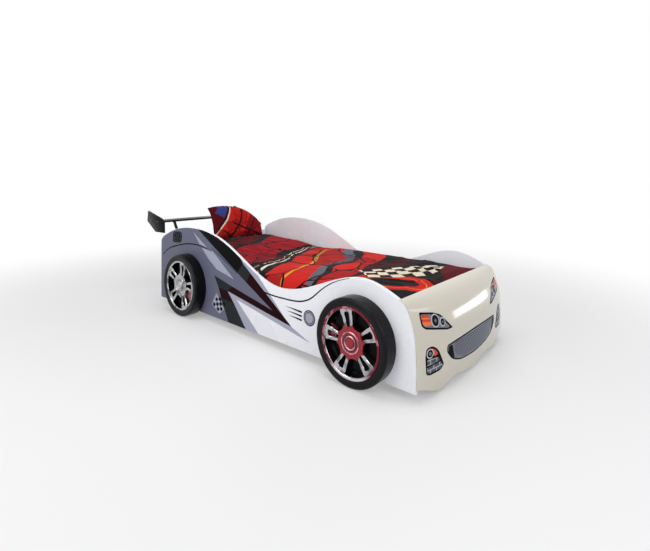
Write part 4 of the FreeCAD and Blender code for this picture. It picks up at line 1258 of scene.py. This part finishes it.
def tube(run, radius, steps=10):
    """A round tube along a closed, level run of points."""
    points = []
    for i, here in enumerate(run):
        along = (run[(i + 1) % len(run)] - run[i - 1]).normalized()
        side = along.cross(FLAT_UP).normalized()
        up = side.cross(along)
        points += [here + radius * (c * side + s * up) for c, s in circle(steps)]
    return mesh_of(points, ring_faces(len(run), steps))


def creases(x, y, seed):
    """Height of the cloth's folds: broad swells, a few long drag lines and small crumples."""
    broad = noise.noise(Vector((x * 2.3, y * 3.1, seed)))
    wander = 0.12 * noise.noise(Vector((x * 3.0, y * 3.0, seed + 7)))
    drag = noise.noise(Vector(((x + wander) * 3.2 + 0.9 * y, (y + wander) * 10.0 - 1.4 * x, seed + 3)))
    ridge = max(0.0, 1 - abs(drag) * 5.5) ** 2
    small = noise.noise(Vector((x * 17, y * 19, seed + 11)))
    strong = 0.55 + 0.8 * noise.noise(Vector((x * 1.7, y * 1.7, seed + 5)))
    return 0.0085 * broad + 0.0085 * ridge * strong + 0.0015 * small


# Where the duvet's top lies: (distance from the panels' rear edge, height).
DUVET_LIE = [(0.0, 0.405), (0.16, 0.405), (0.454, 0.397), (0.57, 0.383), (0.68, 0.377), (0.79, 0.369)]
DUVET_LIE += [(0.94, 0.389), (1.3, 0.395), (1.8, 0.401), (1.93, 0.392), (2.02, 0.402)]
# Shares of the cover's half width: its top and its rolled side; and of that side: its roll and its drop.
TOP_SHARE, SIDE_SHARE = 0.82, 0.18
ROLL_SHARE, DROP_SHARE = 0.55, 0.45
ROLL = 0.050


def duvet():
    """The duvet: a filled cover over the mattress, tucked down its sides, with a soft rolled edge and folds."""
    low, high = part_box("duvet")
    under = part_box("mattress")[1].z
    along, across = 190, 120
    lie = np.array(DUVET_LIE)
    wide = high.y - 0.0008
    shoulder = wide - ROLL
    tuck, rim = low.z + 0.001, under - 0.004

    def section(x):
        """Points across the top of the cover, from tuck to tuck."""
        places = [x - REAR + d for d in (-0.06, -0.03, 0.0, 0.03, 0.06)]
        loft = float(np.mean([np.interp(place, lie[:, 0], lie[:, 1]) for place in places])) - under
        end = min(1.0, (x - low.x) / 0.028, (high.x - x) / 0.035)
        crown = 0.33 + 0.67 * math.sqrt(max(end, 0.0))

        def top(y):
            return under + 0.0005 + crown * (loft + creases(x, y, 4.2))

        line = []
        for j in range(across + 1):
            s = 2 * j / across - 1
            if abs(s) < TOP_SHARE:
                y = s / TOP_SHARE * shoulder
                z = top(y)
            else:
                t = (abs(s) - TOP_SHARE) / SIDE_SHARE
                turn = min(t / ROLL_SHARE, 1.0) * math.pi / 2
                y = math.copysign(shoulder + ROLL * math.sin(turn), s)
                z = rim + (top(math.copysign(shoulder, s)) - rim) * math.cos(turn)
                if t > ROLL_SHARE:
                    z = rim - (rim - tuck) * (t - ROLL_SHARE) / DROP_SHARE
            line.append((y, z))
        return line

    stations = [low.x + (high.x - low.x) * (i / along) for i in range(along + 1)]
    outer = [[Vector((x, y, z)) for y, z in section(x)] for x in stations]
    lining = []
    hold = wide - 0.0105
    for row in outer:
        for j, p in enumerate(row):
            s = 2 * j / across - 1
            if abs(s) < TOP_SHARE:
                lining.append(Vector((p.x, max(-hold, min(hold, p.y * hold / shoulder)), under + 0.0006)))
            else:
                t = (abs(s) - TOP_SHARE) / SIDE_SHARE
                lining.append(Vector((p.x, math.copysign(hold, s), under + 0.0006 + (tuck - under) * t)))
    cover = mesh_of([p for row in outer for p in row] + lining, sheet_faces(along, across))

    def held(p):
        """Whether a point of the underside, the sides or the ends keeps its place while the cover fills."""
        return p.z < under + 0.006 or abs(p.y) > wide - 0.02 or min(p.x - low.x, high.x - p.x) < 0.012

    cover = inflate(cover, 14, 1.2, 0.010, 10.0, [1.0 if held(v.co) else 0.0 for v in cover.vertices])

    def press(p, normal):
        """Keeps the cover off the boards."""
        return Vector((min(max(p.x, low.x), high.x), min(max(p.y, -wide), wide), p.z)) - p

    cover = moved(cover, press)
    piece = add_piece("duvet_cover", cover, "duvet_print", "bedding", 70.0)
    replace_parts(piece, "duvet")


def pillow():
    """The pillow: a slumped, filled bag that leans on the head board, its seam standing out as a flange."""
    low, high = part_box("pillow")
    wide, tall, thick = 0.500, 0.305, 0.110
    lean, droop = math.radians(22), 0.190
    rows, columns = 34, 52
    points = []
    for face in (1, -1):
        for i in range(columns + 1):
            share = 2 * i / columns - 1
            y = share * wide / 2
            pinch = 1 - 0.06 * (1 - share**2)
            top = tall / 2 - droop * ((share + 1) / 2) ** 3.5 - 0.014 * max(0.0, -share) ** 3
            base = -tall / 2 * pinch
            for j in range(rows + 1):
                t = 2 * j / rows - 1
                z = (top + base) / 2 + (top - base) / 2 * t
                belly = 0.0035 + (thick / 2 - 0.010) * ((1 - abs(share) ** 2.4) * (1 - abs(t) ** 2.2)) ** 0.62
                points.append(Vector((face * belly, y * (1 - 0.05 * (1 - t**2)), z)))
    bag = mesh_of(points, sheet_faces(columns, rows))
    bag = worked(bag, "REMESH", mode="VOXEL", voxel_size=0.006, use_smooth_shade=True)
    bag = inflate(bag, 20, 4.0, 0.012, 14.0)

    def crumple(p, normal):
        """Small dents all over the cloth, and sharper pulls along wandering lines."""
        edge = noise.noise(Vector((p.y * 11, p.z * 11, 3.3)))
        fine = noise.noise(Vector((p.y * 31, p.z * 27, 8.1)))
        pull = max(0.0, 1 - abs(noise.noise(Vector((p.y * 7 + p.z * 5, p.z * 4, 1.7)))) * 5) ** 2
        return normal * (0.0022 * edge + 0.0008 * fine - 0.0042 * pull)

    bag = moved(bag, crumple)
    bag.transform(Matrix.Rotation(-lean, 4, "Y"))
    cloth = np.array([v.co for v in bag.vertices])
    now, goal = (cloth.min(0) + cloth.max(0)) / 2, np.array((low + high) / 2)
    size_now, size_goal = cloth.max(0) - cloth.min(0), np.array(high - low)
    fit = np.minimum((1.0, 1.03, 1.03), size_goal / size_now)
    for v in bag.vertices:
        v.co = Vector(goal + (np.array(v.co) - now) * fit)
    bag = worked(bag, "SUBSURF", levels=1)
    piece = add_piece("pillow_bag", bag, "pillow_print", "pillow", 180.0)
    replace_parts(piece, "pillow")


# ---------------------------------------------------------------- studio


def backdrop():
    """A pale floor that keeps the shadow, and a white surround with soft lamps."""
    scene = bpy.context.scene
    scene.view_settings.view_transform = "Standard"
    mesh = mesh_of([(-30, -30, 0), (30, -30, 0), (30, 30, 0), (-30, 30, 0)], [(0, 1, 2, 3)])
    floor = bpy.data.objects.new("floor", mesh)
    scene.collection.objects.link(floor)
    finish = Finish("floor_white", (0.82, 0.82, 0.83, 1.0), 0.9, Specular_IOR_Level=0.0)
    away = finish.vector("LENGTH", finish.place, output="Value")
    white = finish.node("ShaderNodeEmission", {}, {"Color": (1.0, 1.0, 1.0, 1.0)})
    keep = finish.backdrop_share() * away.fade(1.3, 3.6, 0.3, 1.0)
    shares = {0: keep, 1: Flow(finish, finish.shader.outputs[0]), 2: white}
    both = finish.node("ShaderNodeMixShader", {}, shares)
    finish.tree.links.new(both.socket, finish.tree.nodes["Material Output"].inputs["Surface"])
    mesh.materials.append(finish.material)

    world = bpy.data.worlds.new("studio")
    world.use_nodes = True
    nodes = Nodes(world.node_tree)
    background = world.node_tree.nodes["Background"]
    nodes.feed(background.inputs["Color"], (1.0, 1.0, 1.0, 1.0))
    nodes.feed(background.inputs["Strength"], 0.42 + nodes.backdrop_share() * 0.58)
    scene.world = world

    for name, place, aim, size, power in (
        ("top_softbox", (0.6, -0.4, 3.4), (0.2, 0.0, 0.2), (3.2, 1.6), 44.0),
        ("front_softbox", (3.6, -1.4, 1.9), (0.9, -0.1, 0.3), (1.2, 1.6), 26.0),
        ("near_softbox", (-0.4, -3.6, 1.8), (0.1, -0.3, 0.3), (2.4, 1.4), 42.0),
        ("far_softbox", (-0.8, 3.4, 2.4), (0.0, 0.2, 0.4), (2.0, 1.2), 22.0),
        ("low_window", (2.51, 2.38, 0.30), (1.24, 0.0, 0.31), (1.10, 0.38), 5.0),
        ("brow_window", (2.92, 1.18, 1.20), (1.19, -0.42, 0.37), (0.55, 0.10), 0.5),
    ):
        lamp = bpy.data.lights.new(name, "AREA")
        lamp.shape, lamp.size, lamp.size_y, lamp.energy = "RECTANGLE", size[0], size[1], power
        obj = bpy.data.objects.new(name, lamp)
        turn = (Vector(aim) - Vector(place)).to_track_quat("-Z", "Y").to_matrix().to_4x4()
        obj.matrix_world = Matrix.Translation(place) @ turn
        obj.visible_camera = False
        obj.visible_glossy = name != "far_softbox"
        obj.visible_diffuse = not name.endswith("window")
        scene.collection.objects.link(obj)


set_camera()
boards()
for panel_side in ("right", "left"):
    livery(panel_side)
nose()
lamps()
wheels()
wing()
mattress()
duvet()
pillow()
backdrop()
